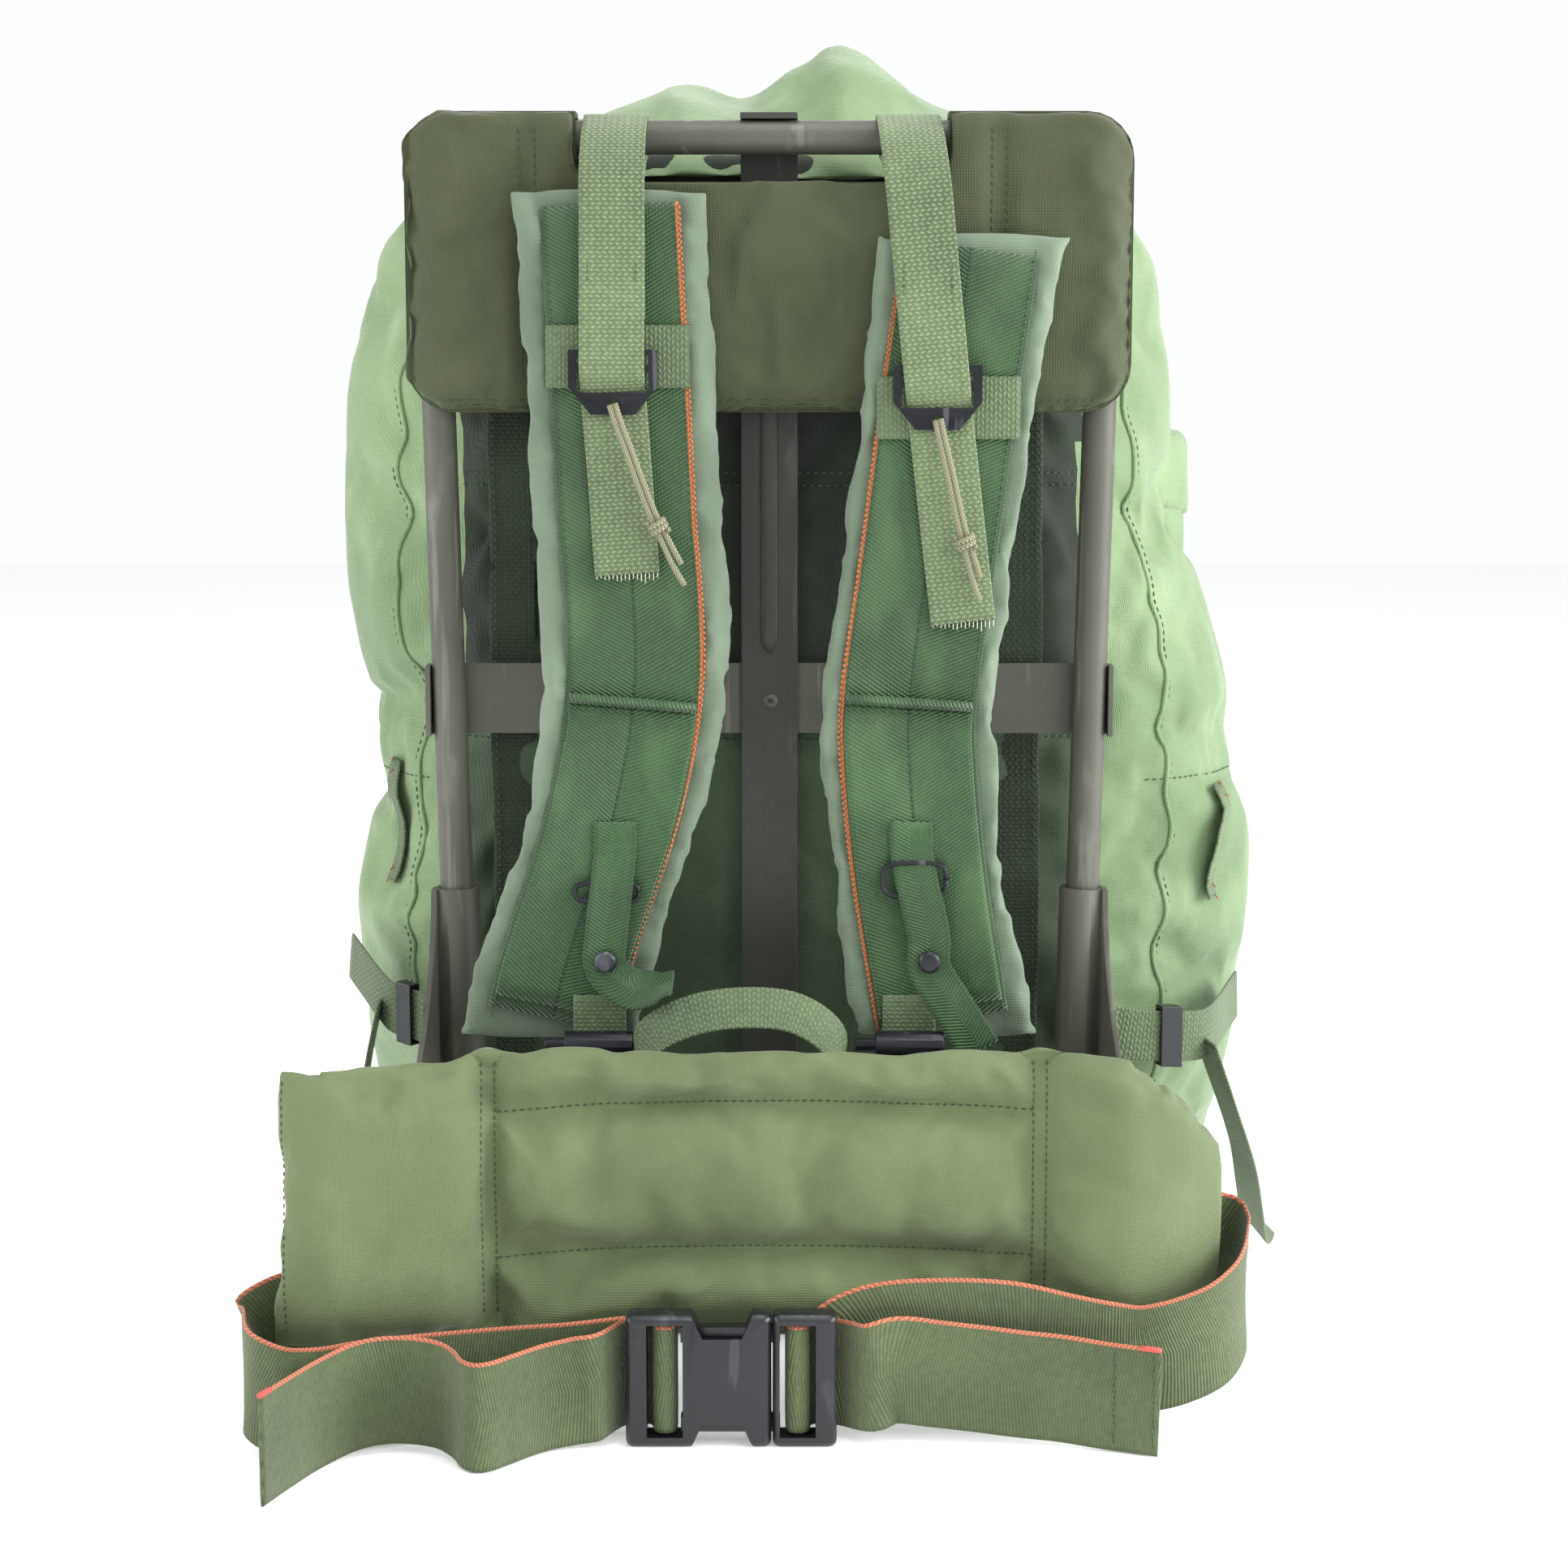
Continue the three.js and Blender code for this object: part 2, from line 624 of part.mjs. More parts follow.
// Shoulder straps: centre line and width of each pad from its top to its bottom
const strapLeft = [
  { down: 0, out: 0.491, ahead: 0, wide: 1 },
  { down: 0.114, out: 0.477, ahead: 0, wide: 0.965 },
  { down: 0.224, out: 0.46, ahead: 0, wide: 0.95 },
  { down: 0.388, out: 0.439, ahead: 0.4, wide: 0.96 },
  { down: 0.47, out: 0.418, ahead: 0.6, wide: 0.97 },
  { down: 0.552, out: 0.413, ahead: 0.75, wide: 0.96 },
  { down: 0.627, out: 0.43, ahead: 0.8, wide: 0.93 },
  { down: 0.724, out: 0.484, ahead: 0.8, wide: 0.9 },
  { down: 0.789, out: 0.538, ahead: 0.75, wide: 0.9 },
  { down: 0.856, out: 0.6, ahead: 0.65, wide: 0.9 },
  { down: 0.92, out: 0.655, ahead: 0.55, wide: 0.92 },
  { down: 1, out: 0.7, ahead: 0.5, wide: 0.93 },
];
const strapRight = [
  { down: 0, out: 0.629, ahead: 0, wide: 0.98 },
  { down: 0.11, out: 0.59, ahead: 0, wide: 0.91 },
  { down: 0.21, out: 0.555, ahead: 0, wide: 0.89 },
  { down: 0.32, out: 0.519, ahead: 0.2, wide: 0.876 },
  { down: 0.454, out: 0.473, ahead: 0.55, wide: 0.876 },
  { down: 0.527, out: 0.443, ahead: 0.7, wide: 0.887 },
  { down: 0.605, out: 0.429, ahead: 0.8, wide: 0.9 },
  { down: 0.676, out: 0.44, ahead: 0.8, wide: 0.887 },
  { down: 0.75, out: 0.459, ahead: 0.75, wide: 0.863 },
  { down: 0.83, out: 0.487, ahead: 0.65, wide: 0.882 },
  { down: 0.893, out: 0.515, ahead: 0.6, wide: 0.91 },
  { down: 1, out: 0.56, ahead: 0.5, wide: 0.945 },
];

const straps = [
  { side: 'left', sign: -1, rows: strapLeft, top: strapTop, long: strapLength,
    hangerTop: 0.477, hangerLow: 0.48, tailKick: -0.05, tailLong: 0.92,
    tabTop: 0.48, tabSnap: 0.51, tabEnd: 0.3, rodOut: 0.533 },
  { side: 'right', sign: 1, rows: strapRight, top: strapTop - strapStagger,
    long: strapLength - strapStagger,
    hangerTop: 0.433, hangerLow: 0.52, tailKick: 0.01, tailLong: 1.08,
    tabTop: 0.443, tabSnap: 0.5, tabEnd: 0.66, rodOut: 0.44 },
];

// Front face of a strap's pad, and what lies on it layer by layer
const padCentreY = pocketFront - gap - strapThick / 2;
const padFaceDepth = strapThick / 2 + gap;

function strapAt(strap, share) {
  const level = strap.top - strap.long * share;
  return {
    x: strap.sign * strapReach * along(strap.rows, 'down', 'out', share),
    y: padCentreY - strapThick * along(strap.rows, 'down', 'ahead', share),
    z: level,
  };
}

function strapLine(strap, from, to, lift, count, shift = 0) {
  const points = [];
  for (let i = 0; i <= count; i += 1) {
    const at = strapAt(strap, mix(from, to, i / count));
    points.push(new THREE.Vector3(at.x + shift, at.y - lift, at.z));
  }
  return curve(points);
}

function strapPad(strap) {
  const wide = (share) => strapWidth * along(strap.rows, 'down', 'wide', share);
  const crown = (share, place) => {
    const end = Math.min(1, 0.55 + Math.min(share, 1 - share) * 16);
    return strapThick * mix(1, 0.5, place ** 4) * end;
  };
  return band({
    path: strapLine(strap, 0, 1, 0, 18), across: east, width: wide, thick: crown, steps: 18, columns: 4,
  });
}

function facing(strap) {
  return band({
    path: strapLine(strap, 0.022, 0.97, padFaceDepth + facingThick / 2, 18),
    across: east, width: facingWidth, thick: facingThick, steps: 18,
  });
}

const facingFront = padFaceDepth + facingThick + gap;

function facingOverlap(strap) {
  const from = (strap.top - overlapTop) / strap.long;
  return band({
    path: strapLine(strap, from, 0.955, facingFront + webbingThick / 2, 10),
    across: east, width: facingWidth * 0.93, thick: webbingThick, steps: 10,
  });
}

// The pad centre's nearest place to the wearer between two heights
function padFace(strap, level, half) {
  const low = strapAt(strap, (strap.top - level + half) / strap.long).y;
  const high = strapAt(strap, (strap.top - level - half) / strap.long).y;
  return Math.min(low, high);
}

function keeperLevel(strap) {
  return strap.sign < 0 ? ladderLevel + hangerWidth * 0.54 : ladderLevel - hangerWidth * 0.24;
}

function keeper(strap) {
  const level = keeperLevel(strap);
  const middle = strapAt(strap, (strap.top - level) / strap.long);
  const half = facingWidth / 2 + 1;
  const face = padFace(strap, level, hangerWidth / 2) - facingFront - webbingThick / 2 - gap;
  return band({
    path: new THREE.LineCurve3(
      new THREE.Vector3(middle.x - half, face, level),
      new THREE.Vector3(middle.x + half, face, level),
    ),
    across: up, width: hangerWidth * 0.96, thick: webbingThick, steps: 1,
  });
}

// Hanger webbing: sewn to the pad, round the top tube, down through the ladder buckle, then a tail
function hangerPoints(strap) {
  const face = padFace(strap, keeperLevel(strap), hangerWidth) - facingFront - gap;
  const inner = face - webbingThick / 2;
  const outer = inner - webbingThick - gap * 2;
  const tube = tubeRadius + gap * 2 + webbingThick / 2;
  const ladder = ladderFace(strap);
  const level = ladderHigh(strap);
  const behind = ladder + ladderThick + gap * 2 + webbingThick / 2;
  const ahead = ladder - gap * 2 - webbingThick / 2;
  const end = keeperLevel(strap) + hangerWidth * 0.5 + 2;
  const rows = [
    { y: inner, z: end },
    { y: inner, z: strap.top - 14 },
    { y: inner + 1, z: Math.max(strap.top + 2, tubeTopZ - 26) },
    { y: inner + 14, z: tubeTopZ - tube - 6 },
    { y: tubeY - tube * 0.75, z: tubeTopZ - tube * 0.98 },
    { y: tubeY, z: tubeTopZ - tube * 1.04 },
    { y: tubeY + tube * 0.78, z: tubeTopZ - tube * 0.72 },
    { y: tubeY + tube * 1.06, z: tubeTopZ },
    { y: tubeY + tube * 0.78, z: tubeTopZ + tube * 0.78 },
    { y: tubeY, z: tubeTopZ + tube * 1.06 },
    { y: tubeY - tube * 0.8, z: tubeTopZ + tube * 0.8 },
    { y: mix(tubeY - tube, outer, 0.45), z: tubeTopZ - tube * 0.1 },
    { y: outer + 1, z: tubeTopZ - 20 },
    { y: outer, z: mix(tubeTopZ, level, 0.45) },
    { y: ahead, z: level + ladderHeight * 0.62 },
    { y: ahead, z: level + ladderHeight * 0.12 },
    { y: behind, z: level - ladderHeight * 0.14 },
    { y: behind, z: level - ladderHeight * 0.6 },
    { y: behind - 1, z: level - tailLength * strap.tailLong * 0.6 },
    { y: behind - 5, z: level - tailLength * strap.tailLong },
  ];
  const topLevel = tubeTopZ + tube;
  const slope = (strap.hangerLow - strap.hangerTop) / (topLevel - level);
  return rows.map((row) => {
    const kick = row.z < level ? (level - row.z) / tailLength * strap.tailKick : 0;
    const out = strap.hangerTop + slope * (topLevel - row.z) + kick;
    return new THREE.Vector3(strap.sign * strapReach * out, row.y, row.z);
  });
}

function ladderHigh(strap) {
  return ladderLevel + (strap.sign < 0 ? 5 : -2);
}

function ladderFace(strap) {
  const pad = padFace(strap, ladderHigh(strap), ladderHeight / 2);
  return pad - facingFront - webbingThick * 2 - gap * 5 - ladderThick;
}

function hangerWebbing(strap) {
  return foldedBand(hangerPoints(strap), east, hangerWidth, webbingThick);
}

// Ladder buckle: a pressed frame with a bar across and a tapered thumb tab
function ladderBuckle(strap) {
  const half = ladderWidth / 2;
  const tall = ladderHeight / 2;
  const shape = new THREE.Shape();
  shape.moveTo(-half, tall * 0.85);
  shape.lineTo(-half, -tall * 0.15);
  shape.lineTo(-half * 0.5, -tall * 0.9);
  shape.lineTo(half * 0.5, -tall * 0.9);
  shape.lineTo(half, -tall * 0.15);
  shape.lineTo(half, tall * 0.85);
  const inner = half - ladderRail;
  const openings = [
    { low: tall * 0.42, high: tall * 0.68 },
    { low: -tall * 0.3, high: tall * 0.22 },
  ];
  for (const opening of openings) {
    const slot = new THREE.Path();
    slot.moveTo(-inner, opening.low);
    slot.lineTo(-inner, opening.high);
    slot.lineTo(inner, opening.high);
    slot.lineTo(inner, opening.low);
    shape.holes.push(slot);
  }
  shape.holes.push(new THREE.Path().absarc(0, -tall * 0.62, cordHole / 2, 0, Math.PI * 2, true));
  const face = ladderFace(strap);
  const plate = plateXZ(shape, face + ladderThick, ladderThick, 3);
  const x = ladderX(strap);
  plate.translate(x, 0, ladderHigh(strap));
  return plate;
}

function ladderX(strap) {
  return strap.sign * strapReach * (strap.hangerLow - 0.002);
}

// Pull cord: a doubled cord from the thumb tab's hole through a knot
function cordRoute(strap) {
  const x = ladderX(strap);
  const y = ladderFace(strap);
  const z = ladderHigh(strap) - (ladderHeight / 2) * 0.62;
  const lean = strap.sign < 0 ? 1 : 0.62;
  const rows = [
    { right: 0, ahead: gap + cordThick * 0.75, down: 0 },
    { right: 3, ahead: 5, down: 9 },
    { right: 8, ahead: 7, down: 22 },
    { right: 13, ahead: 7, down: 36 },
    { right: 18, ahead: 6.5, down: 49 },
    { right: 24, ahead: 6, down: 62 },
    { right: 30, ahead: 5.5, down: 74 },
    { right: 35, ahead: 5.5, down: 82 },
  ];
  return rows.map((row) => new THREE.Vector3(x + row.right * lean, y - row.ahead, z - row.down));
}

function pullCord(strap) {
  return new THREE.ExtrudeGeometry(circle(cordThick * 0.9, 8), {
    steps: 10, bevelEnabled: false, extrudePath: curve(cordRoute(strap)),
  });
}

function knotBall(strap, grow) {
  const route = curve(cordRoute(strap));
  const at = route.getPoint(0.66);
  const ball = new THREE.SphereGeometry(1, 7, 5);
  ball.scale(cordThick * 1.6 + grow, cordThick * 1.5 + grow, cordThick * 2 + grow);
  ball.translate(at.x, at.y, at.z);
  return ball;
}

function cordKnot(strap) {
  const tube = new THREE.ExtrudeGeometry(circle(cordThick * 1.02, 8), {
    steps: 10, bevelEnabled: false, extrudePath: curve(cordRoute(strap)),
  });
  return cut(knotBall(strap, 0), tube);
}

// Quick release at the foot of each strap: a stitched cloth tab with its snap, a steel rod, webbing
function tabRoute(strap) {
  const face = (level) => padFace(strap, level, 0) - facingFront - webbingThick - gap;
  const rows = [
    { out: strap.tabTop, level: 277, ahead: 0 },
    { out: strap.tabTop, level: 264, ahead: 0 },
    { out: mix(strap.tabTop, strap.tabSnap, 0.5), level: 242, ahead: 4 },
    { out: strap.tabSnap, level: 222, ahead: 6 },
    { out: strap.tabSnap, level: 209, ahead: 7 },
    { out: mix(strap.tabSnap, strap.tabEnd, 0.4), level: strap.sign < 0 ? 199 : 193, ahead: 10 },
    { out: strap.tabEnd, level: strap.sign < 0 ? 203 : 170, ahead: 13 },
  ];
  return rows.map((row) => new THREE.Vector3(
    strap.sign * strapReach * row.out,
    face(row.level) - row.ahead - webbingThick / 2 - gap,
    row.level,
  ));
}

function releaseTab(strap) {
  return band({
    path: curve(tabRoute(strap)),
    across: tabAcross(strap),
    width: tabWidth,
    thick: webbingThick,
    steps: 12,
  });
}

function tabAcross(strap) {
  return strap.sign < 0 ? new THREE.Vector3(0.9, 0, 0.35) : new THREE.Vector3(1, 0, 0.2);
}

function snap(strap) {
  const at = tabRoute(strap)[4];
  const profile = [
    new THREE.Vector2(0, 0),
    new THREE.Vector2(snapDiameter / 2, 0),
    new THREE.Vector2(snapDiameter / 2, snapHeight * 0.5),
    new THREE.Vector2(snapDiameter * 0.36, snapHeight),
    new THREE.Vector2(0, snapHeight),
  ];
  const button = new THREE.LatheGeometry(profile, 10);
  button.rotateX(Math.PI);
  button.translate(at.x, at.y - webbingThick / 2 - gap * 3, at.z + 3);
  return cut(button, releaseTab(strap));
}

function rodCentre(strap) {
  const y = padFace(strap, rodLevel, rodDiameter) - facingFront - webbingThick * 2 - gap * 3;
  return new THREE.Vector3(strap.sign * strapReach * strap.rodOut, y - rodDiameter / 2, rodLevel);
}

function releaseRod(strap) {
  const centre = rodCentre(strap);
  const body = new THREE.CylinderGeometry(rodDiameter / 2, rodDiameter / 2, rodLength, 12);
  const pin = new THREE.CylinderGeometry(rodDiameter / 4, rodDiameter / 4, rodLength * 1.3, 8);
  body.rotateZ(Math.PI / 2);
  pin.rotateZ(Math.PI / 2);
  pin.translate(-rodLength * 0.15, 0, 0);
  const rod = join(body, pin);
  rod.translate(centre.x, centre.y, centre.z);
  return rod;
}

// Lower webbing: from the strap's foot over the back of the rod, down and round the bow
function lowerWebbing(strap) {
  const centre = rodCentre(strap);
  const round = rodDiameter / 2 + gap + webbingThick / 2;
  const bowY = tubeY - bowReach;
  const wrap = sheetThick / 2 + gap + webbingThick / 2;
  const low = bowLevel - bowHeight / 2;
  const rows = [
    { y: centre.y + round, z: rodLevel + 22 },
    { y: centre.y + round, z: rodLevel },
    { y: centre.y + round * 0.9, z: rodLevel - round },
    { y: bowY + wrap, z: bowLevel + bowHeight / 2 },
    { y: bowY + wrap, z: low - wrap },
    { y: bowY - wrap, z: low - wrap },
    { y: bowY - wrap, z: bowLevel },
  ];
  const points = rows.map((row) => new THREE.Vector3(centre.x, row.y, row.z));
  return foldedBand(points, east, hangerWidth * 0.84, webbingThick);
}

// Kidney pad: plan, level and height along its length, from the left end
const padPlan = [
  { along: 0, ahead: 1.18, level: -0.02, tall: 0.95 },
  { along: 0.06, ahead: 1, level: -0.01, tall: 0.97 },
  { along: 0.13, ahead: 0.55, level: 0, tall: 0.98 },
  { along: 0.25, ahead: 0.18, level: 0, tall: 1 },
  { along: 0.34, ahead: 0, level: 0, tall: 1 },
  { along: 0.5, ahead: 0, level: 0, tall: 1 },
  { along: 0.7, ahead: 0, level: 0, tall: 1 },
  { along: 0.8, ahead: 0.14, level: 0, tall: 1 },
  { along: 0.9, ahead: 0, level: -0.01, tall: 0.98 },
  { along: 0.955, ahead: -0.45, level: -0.04, tall: 0.84 },
  { along: 1, ahead: -0.9, level: -0.1, tall: 0.5 },
];
const padLeftEnd = -0.518;
const panelStart = 0.23;
const panelEnd = 0.8;
const padBackY = tubeY - bowReach - sheetThick / 2 - webbingThick - gap * 3;

function padAt(share) {
  const ahead = along(padPlan, 'along', 'ahead', share);
  return new THREE.Vector3(
    padWidth * (padLeftEnd + share),
    padBackY - padThick * (0.5 + ahead),
    padBottom + padHeight * (0.5 + along(padPlan, 'along', 'level', share)),
  );
}

function kidneyPad() {
  const points = [];
  const steps = 18;
  for (let i = 0; i <= steps; i += 1) points.push(padAt(i / steps));
  const crown = (share, place) => {
    const edge = Math.abs(place);
    const inPanel = share > panelStart && share < panelEnd;
    const channel = inPanel && Math.abs(edge - 0.5) < 0.01 ? 0.72 : 1;
    const seam = Math.min(Math.abs(share - panelStart), Math.abs(share - panelEnd)) < 0.03 ? 0.82 : 1;
    const end = Math.min(1, 0.4 + Math.min(share, 1 - share) * 9);
    return padThick * channel * seam * end * mix(1, 0.35, edge ** 5);
  };
  return band({
    path: curve(points), across: up, width: (share) => padHeight * along(padPlan, 'along', 'tall', share),
    thick: crown, steps, columns: 8,
  });
}

// Belt: each half runs behind the pad, round its end, to the buckle, round its bar and back as a tail
const buckleCentreY = padBackY - padThick - 19.5;
const buckleLow = gap;
const barOut = buckleWidth * 0.315;
const beltLoop = 4.6;

function buckleLoop(sign) {
  const back = buckleCentreY + buckleThick * 0.5 + beltThick * 2.4;
  const front = buckleCentreY - buckleBar / 2 - beltThick / 2 - gap;
  const bar = barOut;
  return [
    { x: bar + 14, y: back, low: 6 },
    { x: bar + 2, y: back - 0.4, low: 6 },
    { x: bar - beltLoop + 0.6, y: back - 2.4, low: 6 },
    { x: bar - beltLoop, y: buckleCentreY, low: 6 },
    { x: bar - beltLoop + 1, y: front + 0.3, low: 6 },
    { x: bar, y: front - 0.6, low: 6 },
    { x: bar + beltLoop - 1, y: front + 0.3, low: 6 },
    { x: bar + beltLoop, y: buckleCentreY, low: 6 },
    { x: bar + beltLoop + 1.4, y: buckleCentreY + buckleThick * 0.5 + 0.2, low: 6 },
    { x: bar + beltLoop + 5, y: buckleCentreY + buckleThick * 0.5 + beltThick * 0.9, low: 6 },
    { x: bar + 18, y: buckleCentreY + buckleThick * 0.5 + beltThick * 0.7, low: 5.5 },
  ].map((row) => ({ x: buckleOffset + sign * row.x, y: row.y, low: row.low }));
}

// The belt's plan: across the wearer, forward of the tube plane, and the height of its lower edge
const beltLeftIn = [
  { x: -178, ahead: 86.5, low: 30 },
  { x: -204, ahead: 94, low: 28 },
  { x: -226, ahead: 97.5, low: 22 },
  { x: -236, ahead: 103, low: 16 },
  { x: -238, ahead: 117, low: 12 },
  { x: -233, ahead: 131, low: 8 },
  { x: -219, ahead: 138, low: 3 },
  { x: -203, ahead: 134, low: 1 },
  { x: -186, ahead: 124.5, low: 1 },
  { x: -172, ahead: 119, low: 1 },
  { x: -148, ahead: 112, low: 1 },
  { x: -121, ahead: 108, low: 2 },
  { x: -92, ahead: 108, low: 4 },
];
const beltLeftTail = [
  { x: -78, ahead: 122, low: 3.6 },
  { x: -88, ahead: 123, low: 2 },
  { x: -101, ahead: 128, low: 0.8 },
  { x: -116, ahead: 143, low: 0.4 },
  { x: -124, ahead: 151.5, low: 0.4 },
  { x: -130, ahead: 153.5, low: 0.4 },
  { x: -136, ahead: 149, low: 0.8 },
  { x: -141, ahead: 139, low: 1.5 },
  { x: -149, ahead: 131, low: 3 },
  { x: -162, ahead: 127.5, low: 4 },
  { x: -175, ahead: 128, low: 4 },
  { x: -186, ahead: 133, low: 3 },
  { x: -199, ahead: 148, low: 1 },
  { x: -209, ahead: 169, low: 0.4 },
  { x: -218, ahead: 193, low: 0.4 },
];
const beltRightIn = [
  { x: 168, ahead: 71, low: 52 },
  { x: 190, ahead: 62, low: 51 },
  { x: 204, ahead: 54.5, low: 50 },
  { x: 215, ahead: 50, low: 48 },
  { x: 221.5, ahead: 57, low: 44 },
  { x: 223, ahead: 70, low: 38 },
  { x: 218, ahead: 87, low: 29 },
  { x: 206, ahead: 100, low: 21 },
  { x: 188, ahead: 106.5, low: 15 },
  { x: 170, ahead: 108, low: 12 },
  { x: 151, ahead: 110, low: 15 },
  { x: 133, ahead: 110.5, low: 19 },
  { x: 110, ahead: 109.5, low: 24 },
  { x: 82, ahead: 108, low: 25 },
  { x: 56, ahead: 106.5, low: 23 },
  { x: 42, ahead: 105, low: 18 },
];
const beltRightTail = [
  { x: 46, ahead: 120, low: 7.5 },
  { x: 58, ahead: 117.5, low: 10 },
  { x: 76, ahead: 117, low: 8 },
  { x: 96, ahead: 118, low: 6 },
  { x: 115, ahead: 119.5, low: 4 },
  { x: 133, ahead: 121.5, low: 2.7 },
  { x: 152, ahead: 126, low: 1 },
  { x: 176, ahead: 134, low: 0.4 },
];

function beltHalf(sign, into, tail) {
  const place = (row) => ({ x: row.x, y: tubeY - row.ahead, low: row.low });
  const rows = [...into.map(place), ...buckleLoop(sign), ...tail.map(place)];
  const points = rows.map((row) => new THREE.Vector3(row.x, row.y, row.low + beltHeight / 2));
  return band({
    path: curve(points), across: up, width: beltHeight, thick: beltThick, steps: points.length - 1,
  });
}

// Side-release buckle: the socket half with its catches, and the prong half that fits in it
function buckleBarCut(sign) {
  const x = buckleOffset + sign * barOut;
  const inside = buckleHeight / 2 - buckleRim;
  const middle = buckleHeight / 2 + buckleLow;
  const slot = block(x - slotHalf, x + slotHalf, -buckleThick, buckleThick,
    middle - inside, middle + inside);
  const bar = block(x - buckleBar / 2, x + buckleBar / 2, -buckleBar / 2, buckleBar / 2,
    middle - inside - 1, middle + inside + 1);
  return toGeometry(toSolid(slot).subtract(toSolid(bar)));
}

function buckleSlab(x0, x1) {
  const outline = roundedOutline(x0, x1, buckleLow, buckleLow + buckleHeight, armHeight / 2);
  return plateXZ(outline, buckleThick / 2, buckleThick, 2, slideRim * 0.8);
}

function notchCut(level) {
  const x0 = buckleOffset - buckleWidth * 0.2;
  const shape = new THREE.Shape();
  const deep = level > buckleHeight / 2 ? -notchDepth : notchDepth;
  shape.moveTo(x0, level - deep * 0.2);
  shape.lineTo(x0 + 6, level + deep);
  shape.lineTo(x0 + 24, level + deep);
  shape.lineTo(x0 + 30, level - deep * 0.2);
  return plateXZ(shape, buckleThick, buckleThick * 2);
}

function armBlock(level, grow) {
  const x1 = buckleSplit + 4;
  return block(buckleOffset - buckleWidth * 0.24 - grow, x1, -armThick / 2 - grow, armThick / 2 + grow,
    level - armHeight / 2 - grow, level + armHeight / 2 + grow);
}

const buckleSplit = buckleOffset + buckleWidth * 0.19;
const armLevels = [buckleLow + buckleHeight * 0.16, buckleLow + buckleHeight * 0.84];

function buckleBody() {
  const slab = buckleSlab(buckleOffset - buckleWidth / 2, buckleSplit);
  const body = cut(slab, buckleBarCut(-1), notchCut(buckleLow), notchCut(buckleLow + buckleHeight),
    ...armLevels.map((level) => armBlock(level, gap)));
  body.translate(0, buckleCentreY, 0);
  return body;
}

function buckleProng() {
  const slab = cut(buckleSlab(buckleSplit + gap * 2, buckleOffset + buckleWidth / 2), buckleBarCut(1));
  const prong = join(slab, ...armLevels.map((level) => armBlock(level, 0)));
  prong.translate(0, buckleCentreY, 0);
  return prong;
}

// Compression straps: from each gusset through a slide to the bag's side, with a hanging tail,
// placed out from the tube beside them
const sideStraps = [
  { side: 'left', sign: -1, level: 171, slideFrom: 0.2, slideTo: 0.75, rows: [
    { out: 20, ahead: 2, z: 174 },
    { out: 34, ahead: -8, z: 176 },
    { out: 42, ahead: -20, z: 180 },
    { out: 62, ahead: -60, z: 192 },
  ], tail: [
    { out: 42, ahead: -20, z: 178 },
    { out: 47, ahead: -18, z: 155 },
    { out: 52, ahead: -16, z: 125 },
    { out: 56, ahead: -15, z: 92 },
    { out: 58, ahead: -15, z: 60 },
  ], turn: { x: 0, y: 1, z: 0.1 } },
  { side: 'right', sign: 1, level: 169, slideFrom: 0.5, slideTo: 0.9, rows: [
    { out: 26, ahead: 6, z: 166 },
    { out: 53, ahead: -4, z: 163 },
    { out: 64, ahead: -14, z: 162 },
    { out: 88, ahead: -70, z: 170 },
  ], tail: [
    { out: 64, ahead: -14, z: 160 },
    { out: 76, ahead: -24, z: 128 },
    { out: 90, ahead: -52, z: 92 },
    { out: 102, ahead: -98, z: 54 },
    { out: 114, ahead: -155, z: 22 },
    { out: 124, ahead: -200, z: 13 },
  ], turn: { x: -0.5, y: 1, z: 0.5 } },
];

// Where a compression strap lies on the outer face of its gusset
function gussetSeat(strap) {
  const lift = sheetThick + gap * 1.4 + webbingThick / 2;
  return [2.9, 1.25].map((share) => {
    const forward = tubeRadius * share;
    const out = gussetInner(forward, strap.level + sideStrapWidth) + lift;
    return new THREE.Vector3(strap.sign * out, tubeY - forward, strap.level);
  });
}

function strapRun(strap) {
  return [...gussetSeat(strap), ...sidePoints(strap, strap.rows)];
}

function sidePoints(strap, rows) {
  const tube = tubeSpread(strap.level);
  return rows.map((row) => new THREE.Vector3(strap.sign * (tube + row.out), tubeY - row.ahead, row.z));
}

function compressionStrap(strap) {
  const body = bagSolid(gap, 0, bagShoulder, bagColumns, bagRows);
  const run = foldedBand(strapRun(strap), up, sideStrapWidth, webbingThick);
  const tail = band({
    path: curve(sidePoints(strap, strap.tail)),
    across: new THREE.Vector3(strap.turn.x, strap.turn.y, strap.turn.z),
    width: sideStrapWidth, thick: webbingThick, steps: 8,
  });
  return cut(join(run, tail), body);
}

// Slide: a plastic loop round the strap
function strapSlide(strap) {
  const [first, second] = sidePoints(strap, strap.rows);
  const run = new THREE.Vector3().subVectors(second, first);
  const start = first.clone().addScaledVector(run, strap.slideFrom);
  const end = first.clone().addScaledVector(run, strap.slideTo);
  const outer = band({
    path: new THREE.LineCurve3(start, end), across: up, width: sideStrapWidth + slideRim * 2,
    thick: slideThick, steps: 1,
  });
  const before = first.clone().addScaledVector(run, -0.5);
  const after = first.clone().addScaledVector(run, 1.5);
  const hole = band({
    path: new THREE.LineCurve3(before, after), across: up, width: sideStrapWidth + gap * 4,
    thick: slideThick - slideRim, steps: 1,
  });
  return cut(outer, hole);
}

// Side loops: short webbing sewn on the bag's sides towards the frame
const sideLoopWidth = 22;
const sideLoops = [
  { side: 'right', turn: -0.34, low: 222, high: 280, lift: -0.8 },
  { side: 'left', turn: Math.PI + 0.34, low: 229, high: 291, lift: 1 },
];

